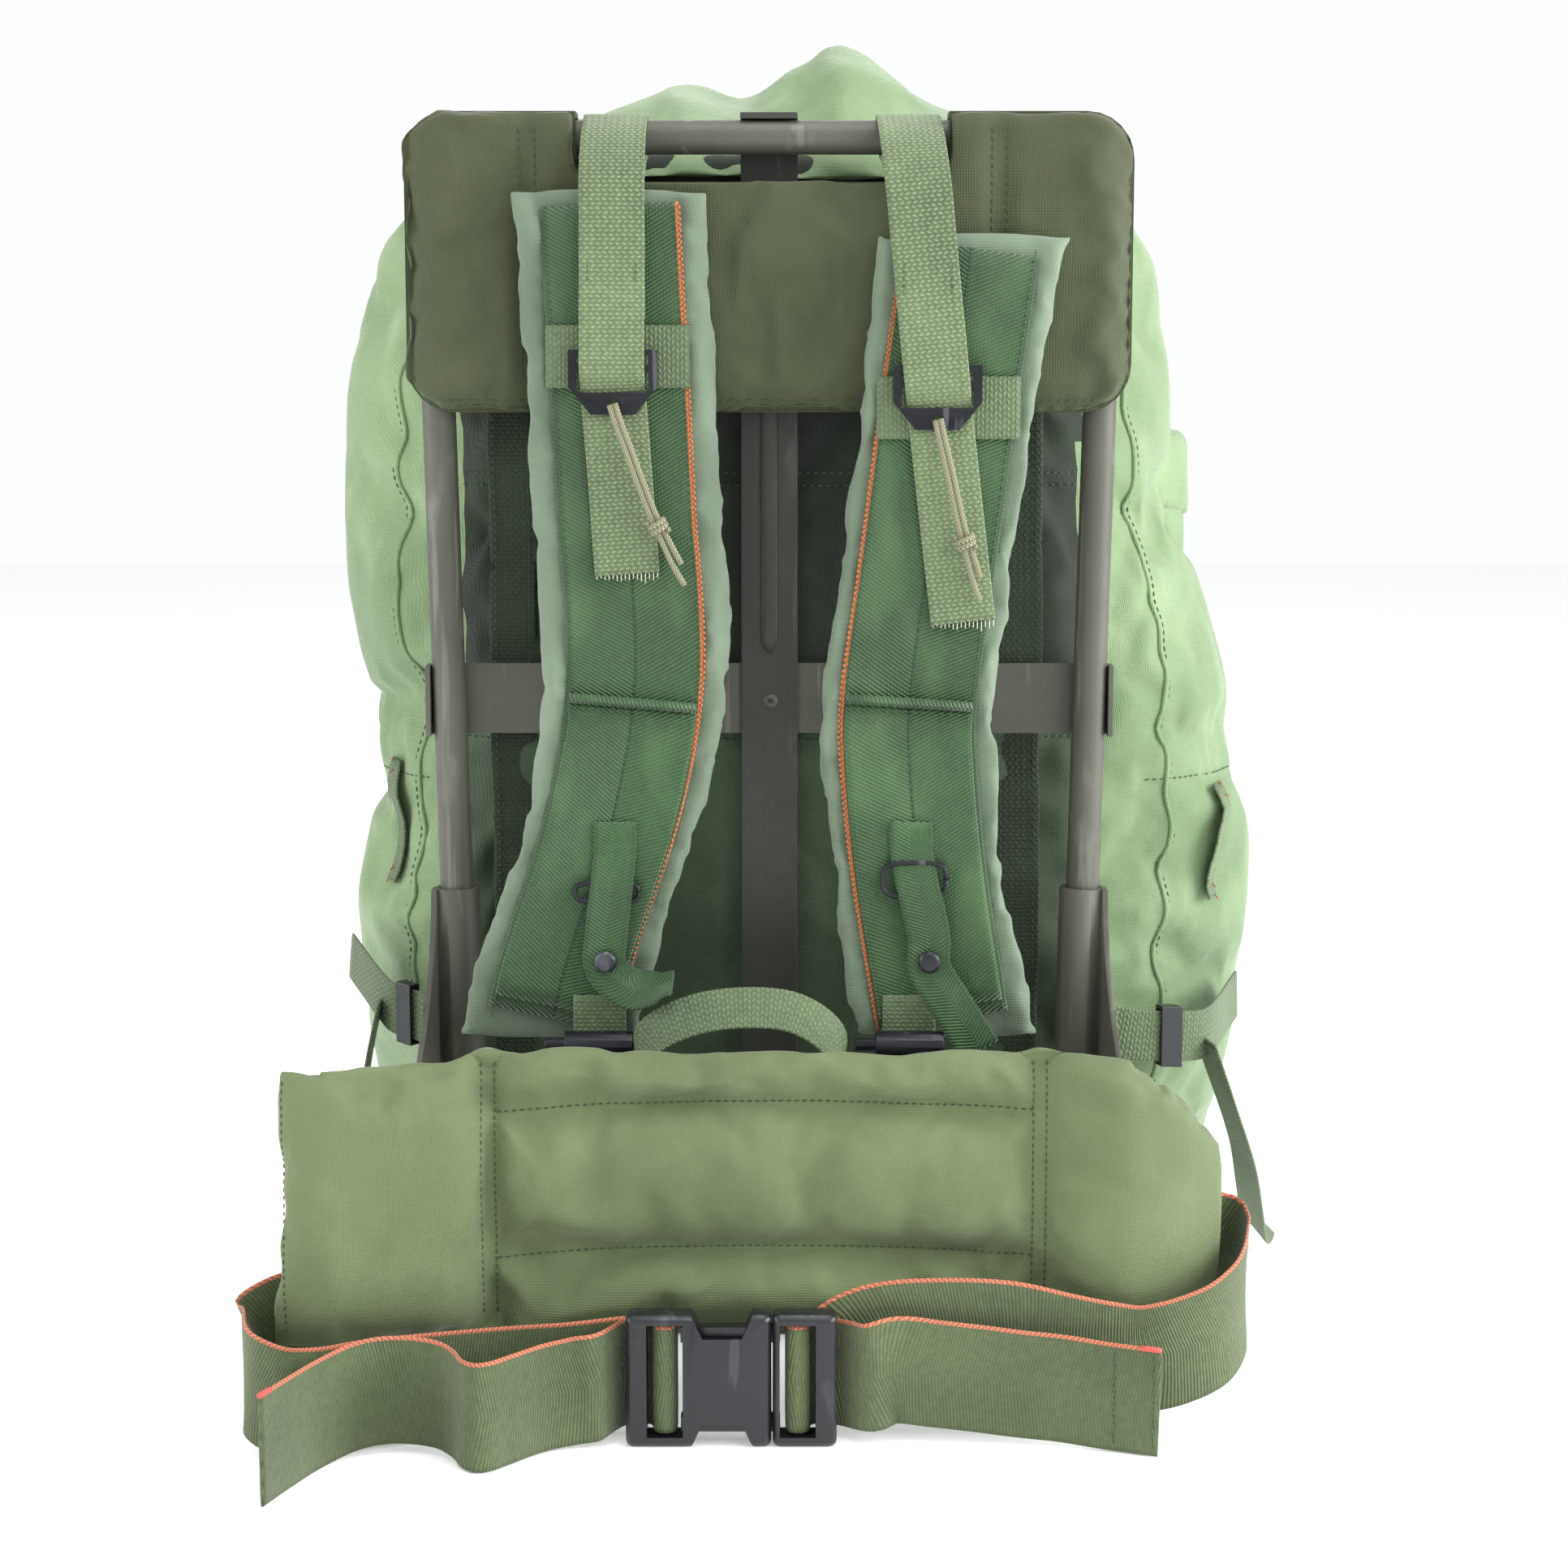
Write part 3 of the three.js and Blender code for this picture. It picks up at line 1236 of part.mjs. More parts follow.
function sideLoop(loop) {
  const points = [];
  const count = 8;
  for (let i = 0; i <= count; i += 1) {
    const height = mix(loop.low, loop.high, i / count);
    const edge = bagPoint(loop.turn, height, loop.lift + webbingThick / 2);
    points.push(new THREE.Vector3(edge.x, edge.y, height));
  }
  const strip = band({
    path: curve(points),
    across: new THREE.Vector3(-Math.sin(loop.turn), Math.cos(loop.turn), 0),
    width: sideLoopWidth,
    thick: webbingThick,
    steps: count,
  });
  return cut(strip, bagSolid(gap, 0, bagShoulder, bagColumns, bagRows));
}

// Loose webbing that stands in an arch behind the top edge of the kidney pad
const archRows = [
  { x: -59, z: 0.195 },
  { x: -61, z: 0.6 },
  { x: -56, z: 0.97 },
  { x: -36, z: 1.2 },
  { x: -8, z: 1.28 },
  { x: 14, z: 1.21 },
  { x: 30, z: 0.95 },
  { x: 34, z: 0.57 },
  { x: 35, z: 0.195 },
];

function padArch() {
  const bowTop = bowLevel + bowHeight / 2;
  const y = tubeY - bowReach + archWidth * 0.22;
  const points = archRows.map((row) => new THREE.Vector3(row.x, y, bowTop + (padTop - bowTop) * row.z));
  return band({
    path: curve(points),
    across: new THREE.Vector3(0, 0.5, 0.87),
    width: archWidth,
    thick: webbingThick,
    steps: 12,
  });
}

// Lid straps: webbing sewn to the lid's apron that hangs down between the far side's pockets
function lidStrap(sign) {
  const points = [];
  const count = 8;
  const high = bagShoulder - lidApron * 0.3;
  const low = high - lidStrapLength;
  const share = (lidStrapOut / (bagWidth / 2)) ** (1 / cornerPower);
  const angle = sign > 0 ? Math.acos(share) : Math.PI - Math.acos(share);
  const lift = clothWall + gap * 5.6 + webbingThick / 2;
  for (let i = 0; i <= count; i += 1) {
    const height = mix(high, low, i / count);
    points.push(new THREE.Vector3(sign * lidStrapOut, bagPoint(angle, height, lift).y, height));
  }
  return band({
    path: curve(points), across: east, width: sideStrapWidth, thick: webbingThick, steps: count,
  });
}

add('frame_tube', frameTube(), 'paintedTube');
add('centre_bar', centreBar(), 'paintedTube');
add('mid_bar', midBar(), 'paintedTube');
add('gusset_left', gusset(-1), 'paintedTube');
add('gusset_right', gusset(1), 'paintedTube');
add('lower_bow', lowerBow(), 'paintedTube');
add('bag_body', bagBody(), 'nylon');
add('lid_flap', lidFlap(), 'nylon');
addPouches();
add('back_pocket', backPocket(), 'pocketCloth');
for (const strap of straps) {
  add(`strap_pad_${strap.side}`, strapPad(strap), 'strapCloth');
  add(`strap_facing_${strap.side}`, facing(strap), 'facingWeb');
  add(`facing_overlap_${strap.side}`, facingOverlap(strap), 'facingWeb');
  add(`keeper_${strap.side}`, keeper(strap), 'webbing');
  add(`hanger_webbing_${strap.side}`, hangerWebbing(strap), 'webbing');
  add(`ladder_buckle_${strap.side}`, ladderBuckle(strap), 'blackSteel');
  add(`pull_cord_${strap.side}`, pullCord(strap), 'cord');
  add(`cord_knot_${strap.side}`, cordKnot(strap), 'cord');
  add(`release_tab_${strap.side}`, releaseTab(strap), 'facingWeb');
  add(`snap_${strap.side}`, snap(strap), 'blackSteel');
  add(`release_rod_${strap.side}`, releaseRod(strap), 'blackSteel');
  add(`lower_webbing_${strap.side}`, lowerWebbing(strap), 'webbing');
}
add('kidney_pad', kidneyPad(), 'padCloth');
add('belt_left', beltHalf(-1, beltLeftIn, beltLeftTail), 'beltWeb');
add('belt_right', beltHalf(1, beltRightIn, beltRightTail), 'beltWeb');
add('buckle_body', buckleBody(), 'plastic');
add('buckle_prong', buckleProng(), 'plastic');
add('pad_arch', padArch(), 'webbing');
for (const strap of sideStraps) {
  add(`compression_strap_${strap.side}`, compressionStrap(strap), 'webbing');
  add(`strap_slide_${strap.side}`, strapSlide(strap), 'plastic');
}
add('lid_strap_left', lidStrap(-1), 'webbing');
add('lid_strap_right', lidStrap(1), 'webbing');
for (const loop of sideLoops) add(`side_loop_${loop.side}`, sideLoop(loop), 'webbing');

export default group;
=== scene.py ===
# %% [markdown]
# # External frame backpack
# A stuffed cloth rucksack hangs on a painted tube frame. The rigid metal and plastic come from
# the CAD solids; cloth, webbing, cords and stitches are made here, around the same places.

# %% Load the frame
import math

import bmesh
import bpy
from mathutils import Matrix, Vector, noise
from mathutils.bvhtree import BVHTree


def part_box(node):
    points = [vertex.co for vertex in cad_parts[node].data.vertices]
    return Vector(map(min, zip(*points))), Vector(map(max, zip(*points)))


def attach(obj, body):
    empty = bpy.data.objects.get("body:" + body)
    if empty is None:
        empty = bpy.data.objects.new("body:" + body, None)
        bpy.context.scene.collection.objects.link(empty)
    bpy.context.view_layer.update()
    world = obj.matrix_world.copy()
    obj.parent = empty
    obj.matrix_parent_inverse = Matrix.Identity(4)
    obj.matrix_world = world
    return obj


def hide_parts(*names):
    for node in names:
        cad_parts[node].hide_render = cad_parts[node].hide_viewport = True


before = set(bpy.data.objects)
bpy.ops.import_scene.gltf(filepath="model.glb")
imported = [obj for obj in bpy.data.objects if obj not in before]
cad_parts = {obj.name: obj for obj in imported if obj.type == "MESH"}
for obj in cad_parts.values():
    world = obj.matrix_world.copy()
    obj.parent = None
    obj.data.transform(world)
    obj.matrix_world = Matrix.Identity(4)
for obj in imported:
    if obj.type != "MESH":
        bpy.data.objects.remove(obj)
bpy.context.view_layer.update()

MM = 0.001
scene = bpy.context.scene

# %% [markdown]
# ## Camera
# The photograph looks slightly down at the wearer's side from about a metre and a half. A long
# lens at that distance gives the mild convergence of the tubes. The camera is a plain object, so
# its place is worked out from the frame tube and nothing follows it.

# %% Camera
tube_low, tube_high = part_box("frame_tube")
TUBE_Y = (tube_low.y + tube_high.y) / 2
TUBE_RADIUS = 8 * MM
IMAGE_SIZE = 1932
FOCAL_PIXELS = 3608
SENSOR = 36
camera_data = bpy.data.cameras.new("camera")
camera_data.sensor_width = SENSOR
camera_data.lens = SENSOR * FOCAL_PIXELS / IMAGE_SIZE
camera = bpy.data.objects.new("camera", camera_data)
bpy.context.collection.objects.link(camera)
camera.location = (7 * MM, TUBE_Y - 1400 * MM, 485 * MM)
camera.rotation_euler = (math.radians(90 - 8), 0, 0)
scene.camera = camera
print("lens", round(camera_data.lens, 1))

# %% [markdown]
# ## Floor and light
# Cloth shows its folds best in wide soft light with one side a little stronger. Six large area
# lamps and a bright even world give the pale, almost shadowless setting of the photograph.


# %% Floor and lamps
def linear(hex_colour):
    """An sRGB hex colour as the linear values that shaders use."""
    parts = [int(hex_colour[i:i + 2], 16) / 255 for i in (1, 3, 5)]
    return tuple(c / 12.92 if c <= 0.04045 else ((c + 0.055) / 1.055) ** 2.4 for c in parts) + (1.0,)


def put(tree, kind, inputs=None, **settings):
    """Adds one shader node with its settings, values and links."""
    made = tree.nodes.new(kind)
    for name, value in settings.items():
        setattr(made, name, value)
    for name, value in (inputs or {}).items():
        if isinstance(value, bpy.types.NodeSocket):
            tree.links.new(value, made.inputs[name])
        else:
            made.inputs[name].default_value = value
    return made


def new_look(name):
    look = bpy.data.materials.new(name)
    look.use_nodes = True
    return look, look.node_tree, look.node_tree.nodes["Principled BSDF"]


def lamp(name, place, size, watts, aim):
    data = bpy.data.lights.new(name, "AREA")
    data.size = size
    data.energy = watts
    made = bpy.data.objects.new(name, data)
    made.location = place
    made.rotation_euler = (Vector(aim) - Vector(place)).to_track_quat("-Z", "Y").to_euler()
    bpy.context.collection.objects.link(made)


world = bpy.data.worlds.new("soft_white")
world.use_nodes = True
sky = world.node_tree.nodes["Background"]
sky.inputs["Color"].default_value = linear("#FDFEFE")
# Seen by the camera the wall is white, but it lights the pack less, or every fold would wash out
seen = put(world.node_tree, "ShaderNodeLightPath").outputs["Is Camera Ray"]
strength = put(world.node_tree, "ShaderNodeMapRange", {"Value": seen, "To Min": 0.66})
world.node_tree.links.new(strength.outputs[0], sky.inputs["Strength"])
scene.world = world
scene.view_settings.view_transform = "Standard"
scene.view_settings.exposure = 0.0
LAMPS = (  # name, place, size in metres, watts and what it points at
    ("key", (1.7, -1.9, 1.9), 1.4, 26, (0, 0, 0.3)),
    ("fill", (-1.9, -1.7, 1.6), 1.8, 10, (0, 0, 0.3)),
    ("back", (0.4, 2.2, 2.2), 1.8, 24, (0, 0, 0.3)),
    ("right_side", (2.2, -0.6, 1.0), 1.2, 62, (0.1, 0, 0.35)),
    ("left_side", (-2.2, -0.6, 1.0), 1.2, 23, (-0.1, 0, 0.35)),
    ("above", (0.1, -0.7, 2.7), 1.4, 29, (0, -0.1, 0.3)),
)
for row in LAMPS:
    lamp(*row)

floor_mesh = bmesh.new()
bmesh.ops.create_grid(floor_mesh, x_segments=1, y_segments=1, size=6)
floor_data = bpy.data.meshes.new("floor")
floor_mesh.to_mesh(floor_data)
floor_mesh.free()
floor = bpy.data.objects.new("floor", floor_data)
bpy.context.collection.objects.link(floor)
floor_look, _, floor_shader = new_look("matte_white_paper")
floor_shader.inputs["Base Color"].default_value = linear("#FAFAFA")
floor_shader.inputs["Roughness"].default_value = 0.9
floor_shader.inputs["Emission Color"].default_value = linear("#FFFFFF")
floor_shader.inputs["Emission Strength"].default_value = 0.3
floor_data.materials.append(floor_look)
print("floor and", len(LAMPS), "lamps")

# %% [markdown]
# ## Finishes
# Each finish is built from what the real one is. Cloth has three scales: broad patches of fading,
# creases a few centimetres long, and threads under a millimetre. Webbing carries two values on its
# points, the distance run and the place across, so ribs and edge threads follow every bend.


# %% Pattern helpers
def mottle(tree, coords, per_metre, detail=3.0, kind="FBM", stretch=(1, 1, 1), twist=0.0):
    """Soft random patches, so many to the metre."""
    turned = put(tree, "ShaderNodeMapping", {"Vector": coords, "Scale": stretch})
    return put(tree, "ShaderNodeTexNoise", {"Vector": turned.outputs[0], "Scale": per_metre,
                                            "Detail": detail, "Distortion": twist},
               noise_type=kind, normalize=True).outputs["Fac"]


def between(tree, value, low, high, start=0.0, end=1.0):
    """Stretches the part of a value between low and high to start and end."""
    return put(tree, "ShaderNodeMapRange", {"Value": value, "From Min": low, "From Max": high,
                                            "To Min": start, "To Max": end}).outputs[0]


def ribs(tree, value, period):
    """Even ridges from 0 to 1, one each period, across a length in metres."""
    turned = put(tree, "ShaderNodeMath", {0: value, 1: 2 * math.pi / period}, operation="MULTIPLY")
    wave = put(tree, "ShaderNodeMath", {0: turned.outputs[0]}, operation="SINE")
    return put(tree, "ShaderNodeMath", {0: wave.outputs[0], 1: 0.5, 2: 0.5},
               operation="MULTIPLY_ADD").outputs[0]


def near(tree, value, centre, half):
    """1 where a value lies within half of centre, and 0 elsewhere."""
    return put(tree, "ShaderNodeMath", {0: value, 1: centre, 2: half}, operation="COMPARE").outputs[0]


def work(tree, how, a, b):
    return put(tree, "ShaderNodeMath", {0: a, 1: b}, operation=how).outputs[0]


def tint(tree, amount, under, over):
    """One colour laid over another by an amount from 0 to 1."""
    return put(tree, "ShaderNodeMix", {0: amount, 6: under, 7: over}, data_type="RGBA").outputs[2]


def shade(tree, colour, amount):
    """A colour made darker or lighter by a number near 1."""
    return put(tree, "ShaderNodeVectorMath", {0: colour, 3: amount}, operation="SCALE").outputs[0]


def raise_up(tree, layers):
    """One bump from several heights, each a 0 to 1 pattern and its depth in millimetres."""
    total = None
    for pattern, depth in layers:
        height = work(tree, "MULTIPLY", pattern, depth)
        total = height if total is None else work(tree, "ADD", total, height)
    return put(tree, "ShaderNodeBump", {"Height": total, "Distance": MM, "Strength": 1.0}).outputs[0]


print("pattern helpers ready")

# %% [markdown]
# ### Woven cloth
# The bag is nylon duck with a waterproof coating: tight plain weave, soft sheen, sharp creases
# whose ridges get a painted highlight. The back pocket and hip pad are uncoated duck, and the straps
# are edged with a brushed twill. One function serves all, with the thread spacing and crease size of
# each.


# %% Woven cloth
WEAR_AND_CREASE_HIGHLIGHT = 0.35  # How much of the lighter colour worn patches take, and the painted highlight on crease ridges


def woven(name, dark, base, light, thread, crease, depth, rough, sheen, slant=0.0):
    """Cloth on Object coordinates. thread is in metres, crease in creases to the metre."""
    look, tree, shader = new_look(name)
    place = put(tree, "ShaderNodeTexCoord").outputs["Object"]
    split = put(tree, "ShaderNodeSeparateXYZ", {0: place})
    level = split.outputs["Z"]
    round_it = work(tree, "ADD", split.outputs["X"], split.outputs["Y"])
    if slant:
        round_it = work(tree, "ADD", round_it, work(tree, "MULTIPLY", level, slant))
    warp = ribs(tree, round_it, thread)
    weft = ribs(tree, level, thread)
    weave = work(tree, "MULTIPLY", warp, weft)
    broad = mottle(tree, place, 6.0, 4.0)
    worn = mottle(tree, place, 34.0, 5.0, stretch=(1, 1, 0.6))
    fold = mottle(tree, place, crease, 4.0, "RIDGED_MULTIFRACTAL", (1, 1, 0.7), 0.7)
    colour = tint(tree, between(tree, broad, 0.3, 0.7), linear(dark), linear(base))
    colour = tint(tree, between(tree, worn, 0.5, 0.85, 0.0, WEAR_AND_CREASE_HIGHLIGHT), colour, linear(light))
    # Crease ridges are lightened: a painted highlight where folds catch the light
    colour = tint(tree, between(tree, fold, 0.62, 1.0, 0.0, WEAR_AND_CREASE_HIGHLIGHT), colour, linear(light))
    colour = shade(tree, colour, between(tree, weave, 0, 1, 0.9, 1.08))
    tree.links.new(colour, shader.inputs["Base Color"])
    patchy = between(tree, worn, 0.3, 0.7, rough - 0.06, rough + 0.06)
    tree.links.new(patchy, shader.inputs["Roughness"])
    bump = raise_up(tree, [(fold, depth), (worn, depth * 0.25), (weave, 0.22)])
    tree.links.new(bump, shader.inputs["Normal"])
    shader.inputs["Sheen Weight"].default_value = sheen
    shader.inputs["Sheen Roughness"].default_value = 0.4
    shader.inputs["Specular IOR Level"].default_value = 0.35
    return look


# Threads of 0.5 mm are drawn 1.1 to 1.4 mm apart, or they would not show at this distance
coated_duck = woven("coated_nylon_duck", "#657E57", "#87A074", "#B4C8A1", 1.1 * MM, 9.0, 1.1, 0.52, 0.25)
# Darker copies of the bag's cloth for the panel behind the frame: partly a darker cloth and partly
# painted shade, the painted shade lighter below the hem
shaded_duck = woven("coated_nylon_duck_darker_with_painted_shade", "#182217", "#222E1F", "#3C4E36", 1.1 * MM, 10.0, 0.9,
                    0.6, 0.1)
low_shade_duck = woven("coated_nylon_duck_darker_with_painted_shade_low", "#35452F", "#45573D", "#66795C", 1.1 * MM, 10.0, 0.9,
                 0.6, 0.1)
pocket_duck = woven("worn_nylon_duck", "#3D442C", "#495137", "#666D50", 1.3 * MM, 6.0, 0.6, 0.82, 0.15)
strap_twill = woven("brushed_cotton_twill", "#5F705C", "#778873", "#9DAE98", 1.3 * MM, 16.0, 0.7,
                    0.85, 0.3, slant=1.0)
pad_duck = woven("padded_nylon_duck", "#5B6846", "#6A7852", "#8C9A74", 1.2 * MM, 9.0, 0.8, 0.72, 0.2)
print("6 woven cloths")

# %% [markdown]
# ### Webbing
# Webbing is woven on a narrow loom: heavy threads run along it and a fine one goes across, so the
# face shows rows of small beads or slanting ribs. The belt and the facings have an orange marker
# thread along one edge, and the facings a dark seam down the middle.


# %% Webbing
def strap_web(name, dark, base, light, bead, pattern="beads", half=None, edge=None, edge_side=1,
              seam=False, rough=0.7, sheen=0.2, dots=0.35):
    """Webbing on its own run and side values. half is its half width in metres."""
    look, tree, shader = new_look(name)
    place = put(tree, "ShaderNodeTexCoord").outputs["Object"]
    run = put(tree, "ShaderNodeAttribute", attribute_name="run").outputs["Fac"]
    side = put(tree, "ShaderNodeAttribute", attribute_name="side").outputs["Fac"]
    broad = mottle(tree, place, 14.0, 4.0)
    fine = mottle(tree, place, 300.0, 2.0)
    rows = ribs(tree, run, bead)
    if pattern == "beads":
        stagger = work(tree, "MULTIPLY", ribs(tree, run, bead * 2), math.pi)
        turned = work(tree, "ADD", work(tree, "MULTIPLY", side, 2 * math.pi / (bead * 1.5)), stagger)
        columns = put(tree, "ShaderNodeMath", {0: turned}, operation="SINE").outputs[0]
        weave = work(tree, "MULTIPLY", rows, between(tree, columns, -1, 1))
    else:
        lean = 0.55 if pattern == "herringbone" else 0.18
        across = put(tree, "ShaderNodeMath", {0: side}, operation="ABSOLUTE").outputs[0]
        slanted = work(tree, "ADD", run, work(tree, "MULTIPLY", across, lean))
        rows = ribs(tree, slanted, bead)
        grain = between(tree, ribs(tree, side, bead * 0.8), 0, 1, 0.6, 1.0)
        weave = work(tree, "MULTIPLY", rows, grain)
    colour = tint(tree, between(tree, broad, 0.3, 0.7), linear(dark), linear(base))
    colour = tint(tree, work(tree, "MULTIPLY", weave, dots), colour, linear(light))
    colour = shade(tree, colour, between(tree, fine, 0.3, 0.7, 0.88, 1.1))
    if pattern == "herringbone":
        # Soft lighter streaks along the satin: a painted sheen
        painted_sheen = mottle(tree, place, 42.0, 1.0, stretch=(1, 1, 0.55))
        colour = tint(tree, between(tree, painted_sheen, 0.5, 0.75, 0.0, 0.3), colour, linear(light))
    heights = [(weave, 0.45), (fine, 0.15)]
    if half:
        outer = put(tree, "ShaderNodeMath", {0: side}, operation="ABSOLUTE").outputs[0]
        border = between(tree, outer, half - 2.6 * MM, half - 1.6 * MM)
        colour = tint(tree, work(tree, "MULTIPLY", border, 0.45), colour, linear(dark))
    if seam:
        dash = between(tree, ribs(tree, run, 4 * MM), 0.25, 0.4)
        line = work(tree, "MULTIPLY", near(tree, side, 0, 0.45 * MM), dash)
        groove = near(tree, side, 0, 1.2 * MM)
        colour = tint(tree, work(tree, "MULTIPLY", groove, 0.35), colour, linear(dark))
        colour = tint(tree, line, colour, linear("#1C3320"))
        heights.append((groove, -0.5))
    if edge:
        twist = between(tree, ribs(tree, work(tree, "ADD", run, side), 2.4 * MM), 0, 1, 0.55, 1.1)
        thread = near(tree, side, edge_side * (half - 0.9 * MM), 0.9 * MM)
        colour = tint(tree, thread, colour, shade(tree, linear(edge)[:3], twist))
        heights.append((thread, 0.5))
    tree.links.new(colour, shader.inputs["Base Color"])
    tree.links.new(raise_up(tree, heights), shader.inputs["Normal"])
    shader.inputs["Roughness"].default_value = rough
    shader.inputs["Sheen Weight"].default_value = sheen
    shader.inputs["Sheen Roughness"].default_value = 0.35
    shader.inputs["Specular IOR Level"].default_value = 0.4
    return look


HALF_BELT = 25.4 * MM
HALF_FACING = 32 * MM
hanger_web = strap_web("woven_nylon_webbing", "#4C5C3D", "#687A54", "#A9B994", 2.0 * MM, dots=0.5)
loose_web = strap_web("woven_nylon_webbing_dark", "#405037", "#5C6D4C", "#93A47E", 2.0 * MM, dots=0.35)
facing_looks = {side: strap_web(f"satin_webbing_{side}", "#1A341A", "#294A29", "#5E8250", 1.9 * MM,
                                "herringbone", HALF_FACING, "#B5642F", inner, True, 0.42, 0.35)
                for side, inner in (("left", 1), ("right", -1))}
# A darker copy of the webbing for the strips behind the frame: painted shade
shade_web = strap_web("woven_nylon_webbing_shaded", "#1F2A1B", "#2E3B28", "#4A5A40", 2.0 * MM)
tab_web = strap_web("satin_webbing_tab", "#1A341A", "#2B502A", "#5A7D4B", 1.7 * MM, "herringbone",
                    10 * MM, rough=0.45, sheen=0.3)
belt_web = strap_web("ribbed_belt_webbing", "#414E2F", "#566340", "#7D8968", 1.5 * MM, "ribs",
                     HALF_BELT, "#C9785A", 1, rough=0.68)
print("8 webbings")

# %% [markdown]
# ### Metal, plastic, cord and thread
# The frame is aluminium tube under matt grey-brown paint that has rubbed thin in places. The belt
# buckle is injection-moulded acetal with fine grey scratches. The ladder buckles and rings are
# pressed steel with a black coating, bright where it has worn. Cord and thread are plain nylon.


# %% Metal, plastic, cord and thread
def hard_finish(name, dark, base, worn, metallic, rough, grain, scratch=0.3, speckle=260):
    look, tree, shader = new_look(name)
    place = put(tree, "ShaderNodeTexCoord").outputs["Object"]
    broad = mottle(tree, place, 12.0, 4.0)
    grit = mottle(tree, place, speckle, 2.0)
    rubbed = mottle(tree, place, 60.0, 5.0, stretch=(1, 1, 0.4))
    lines = mottle(tree, place, 120.0, 2.0, stretch=(1.0, 1.0, 0.06), twist=0.3)
    colour = tint(tree, between(tree, broad, 0.3, 0.7), linear(dark), linear(base))
    colour = tint(tree, between(tree, rubbed, 0.62, 0.72, 0.0, scratch), colour, linear(worn))
    colour = tint(tree, between(tree, lines, 0.66, 0.7, 0.0, scratch), colour, linear(worn))
    tree.links.new(colour, shader.inputs["Base Color"])
    patchy = between(tree, grit, 0.3, 0.7, rough - 0.07, rough + 0.07)
    tree.links.new(patchy, shader.inputs["Roughness"])
    tree.links.new(raise_up(tree, [(grit, grain), (lines, grain * 0.6)]), shader.inputs["Normal"])
    shader.inputs["Metallic"].default_value = metallic
    return look


def plain_thread(name, base, light):
    look, tree, shader = new_look(name)
    place = put(tree, "ShaderNodeTexCoord").outputs["Object"]
    strand = mottle(tree, place, 900.0, 1.0)
    tree.links.new(tint(tree, strand, linear(base), linear(light)), shader.inputs["Base Color"])
    shader.inputs["Roughness"].default_value = 0.7
    return look


def braided(name, base, light, strand):
    look, tree, shader = new_look(name)
    run = put(tree, "ShaderNodeAttribute", attribute_name="run").outputs["Fac"]
    side = put(tree, "ShaderNodeAttribute", attribute_name="side").outputs["Fac"]
    one_way = ribs(tree, work(tree, "ADD", run, side), strand)
    other_way = ribs(tree, work(tree, "SUBTRACT", run, side), strand)
    braid = work(tree, "MAXIMUM", one_way, other_way)
    tree.links.new(tint(tree, between(tree, braid, 0.5, 1.0), linear(base), linear(light)),
                   shader.inputs["Base Color"])
    tree.links.new(raise_up(tree, [(braid, 0.35)]), shader.inputs["Normal"])
    shader.inputs["Roughness"].default_value = 0.8
    return look


frame_paint = hard_finish("painted_aluminium", "#4B4C43", "#5B5B51", "#86867B", 0.15, 0.52, 0.05, 0.35)
# A darker copy of the frame paint for the centre bar and its bead: painted shade from the straps in
# front of it
centre_bar_shade_paint = hard_finish("frame_paint_in_painted_shade", "#2F302A", "#3B3C35", "#616159", 0.15, 0.55, 0.05, 0.3)
acetal = hard_finish("moulded_acetal", "#101217", "#16181E", "#4A4F58", 0.0, 0.36, 0.04, 0.35, 420)
black_steel = hard_finish("black_coated_steel", "#15161A", "#24262C", "#8A8D93", 0.4, 0.38, 0.03,
                          0.3, 420)
cord_braid = braided("braided_nylon_cord", "#5F5F48", "#A3A184", 1.6 * MM)
dark_thread = plain_thread("green_thread", "#26382A", "#3F5740")
orange_thread = plain_thread("orange_thread", "#A5522C", "#C97A4E")
fray_thread = plain_thread("frayed_nylon", "#A9AB93", "#D6D6C6")
red_mark = plain_thread("red_marker_ink", "#B84A40", "#D9605A")
print("9 hard finishes and threads")

# %% [markdown]
# ## Making pieces
# A sweep is the maker's way to a cord, a tube or a strap: one outline extruded along a path. Here
# the outline is a circle squared into a flat strap with round edges. Every point keeps how far
# along it lies and how far across, which the webbing patterns read.


# %% Curve and sweep helpers
def flow(rows, step=4 * MM):
    """A smooth curve through the rows, as evenly spaced points."""
    points = [Vector(row) for row in rows]
    ends = [2 * points[0] - points[1], *points, 2 * points[-1] - points[-2]]
    dense = []
    for a, b, c, d in zip(ends, ends[1:], ends[2:], ends[3:]):
        before, here, after = ((q - p).length ** 0.5 for p, q in ((a, b), (b, c), (c, d)))
        leave = ((b - a) / before - (c - a) / (before + here) + (c - b) / here) * here
        arrive = ((c - b) / here - (d - b) / (here + after) + (d - c) / after) * here
        for i in range(16):
            t = i / 16
            dense.append(b * (2 * t ** 3 - 3 * t ** 2 + 1) + leave * (t ** 3 - 2 * t ** 2 + t)
                         + c * (3 * t ** 2 - 2 * t ** 3) + arrive * (t ** 3 - t ** 2))
    dense.append(points[-1])
    return evenly(dense, step)


def evenly(points, step):
    """The same line with its points evenly spaced."""
    marks = [0.0]
    for a, b in zip(points, points[1:]):
        marks.append(marks[-1] + (b - a).length)
    count = max(2, round(marks[-1] / step))
    spaced, k = [], 0
    for i in range(count + 1):
        want = marks[-1] * i / count
        while k < len(marks) - 2 and marks[k + 1] < want:
            k += 1
        share = (want - marks[k]) / max(marks[k + 1] - marks[k], 1e-9)
        spaced.append(points[k].lerp(points[k + 1], min(max(share, 0.0), 1.0)))
    return spaced


def measured(value, share):
    return value(share) if callable(value) else value


def power_of(value, power):
    """A value raised to a power with its sign kept."""
    return math.copysign(abs(value) ** power, value)


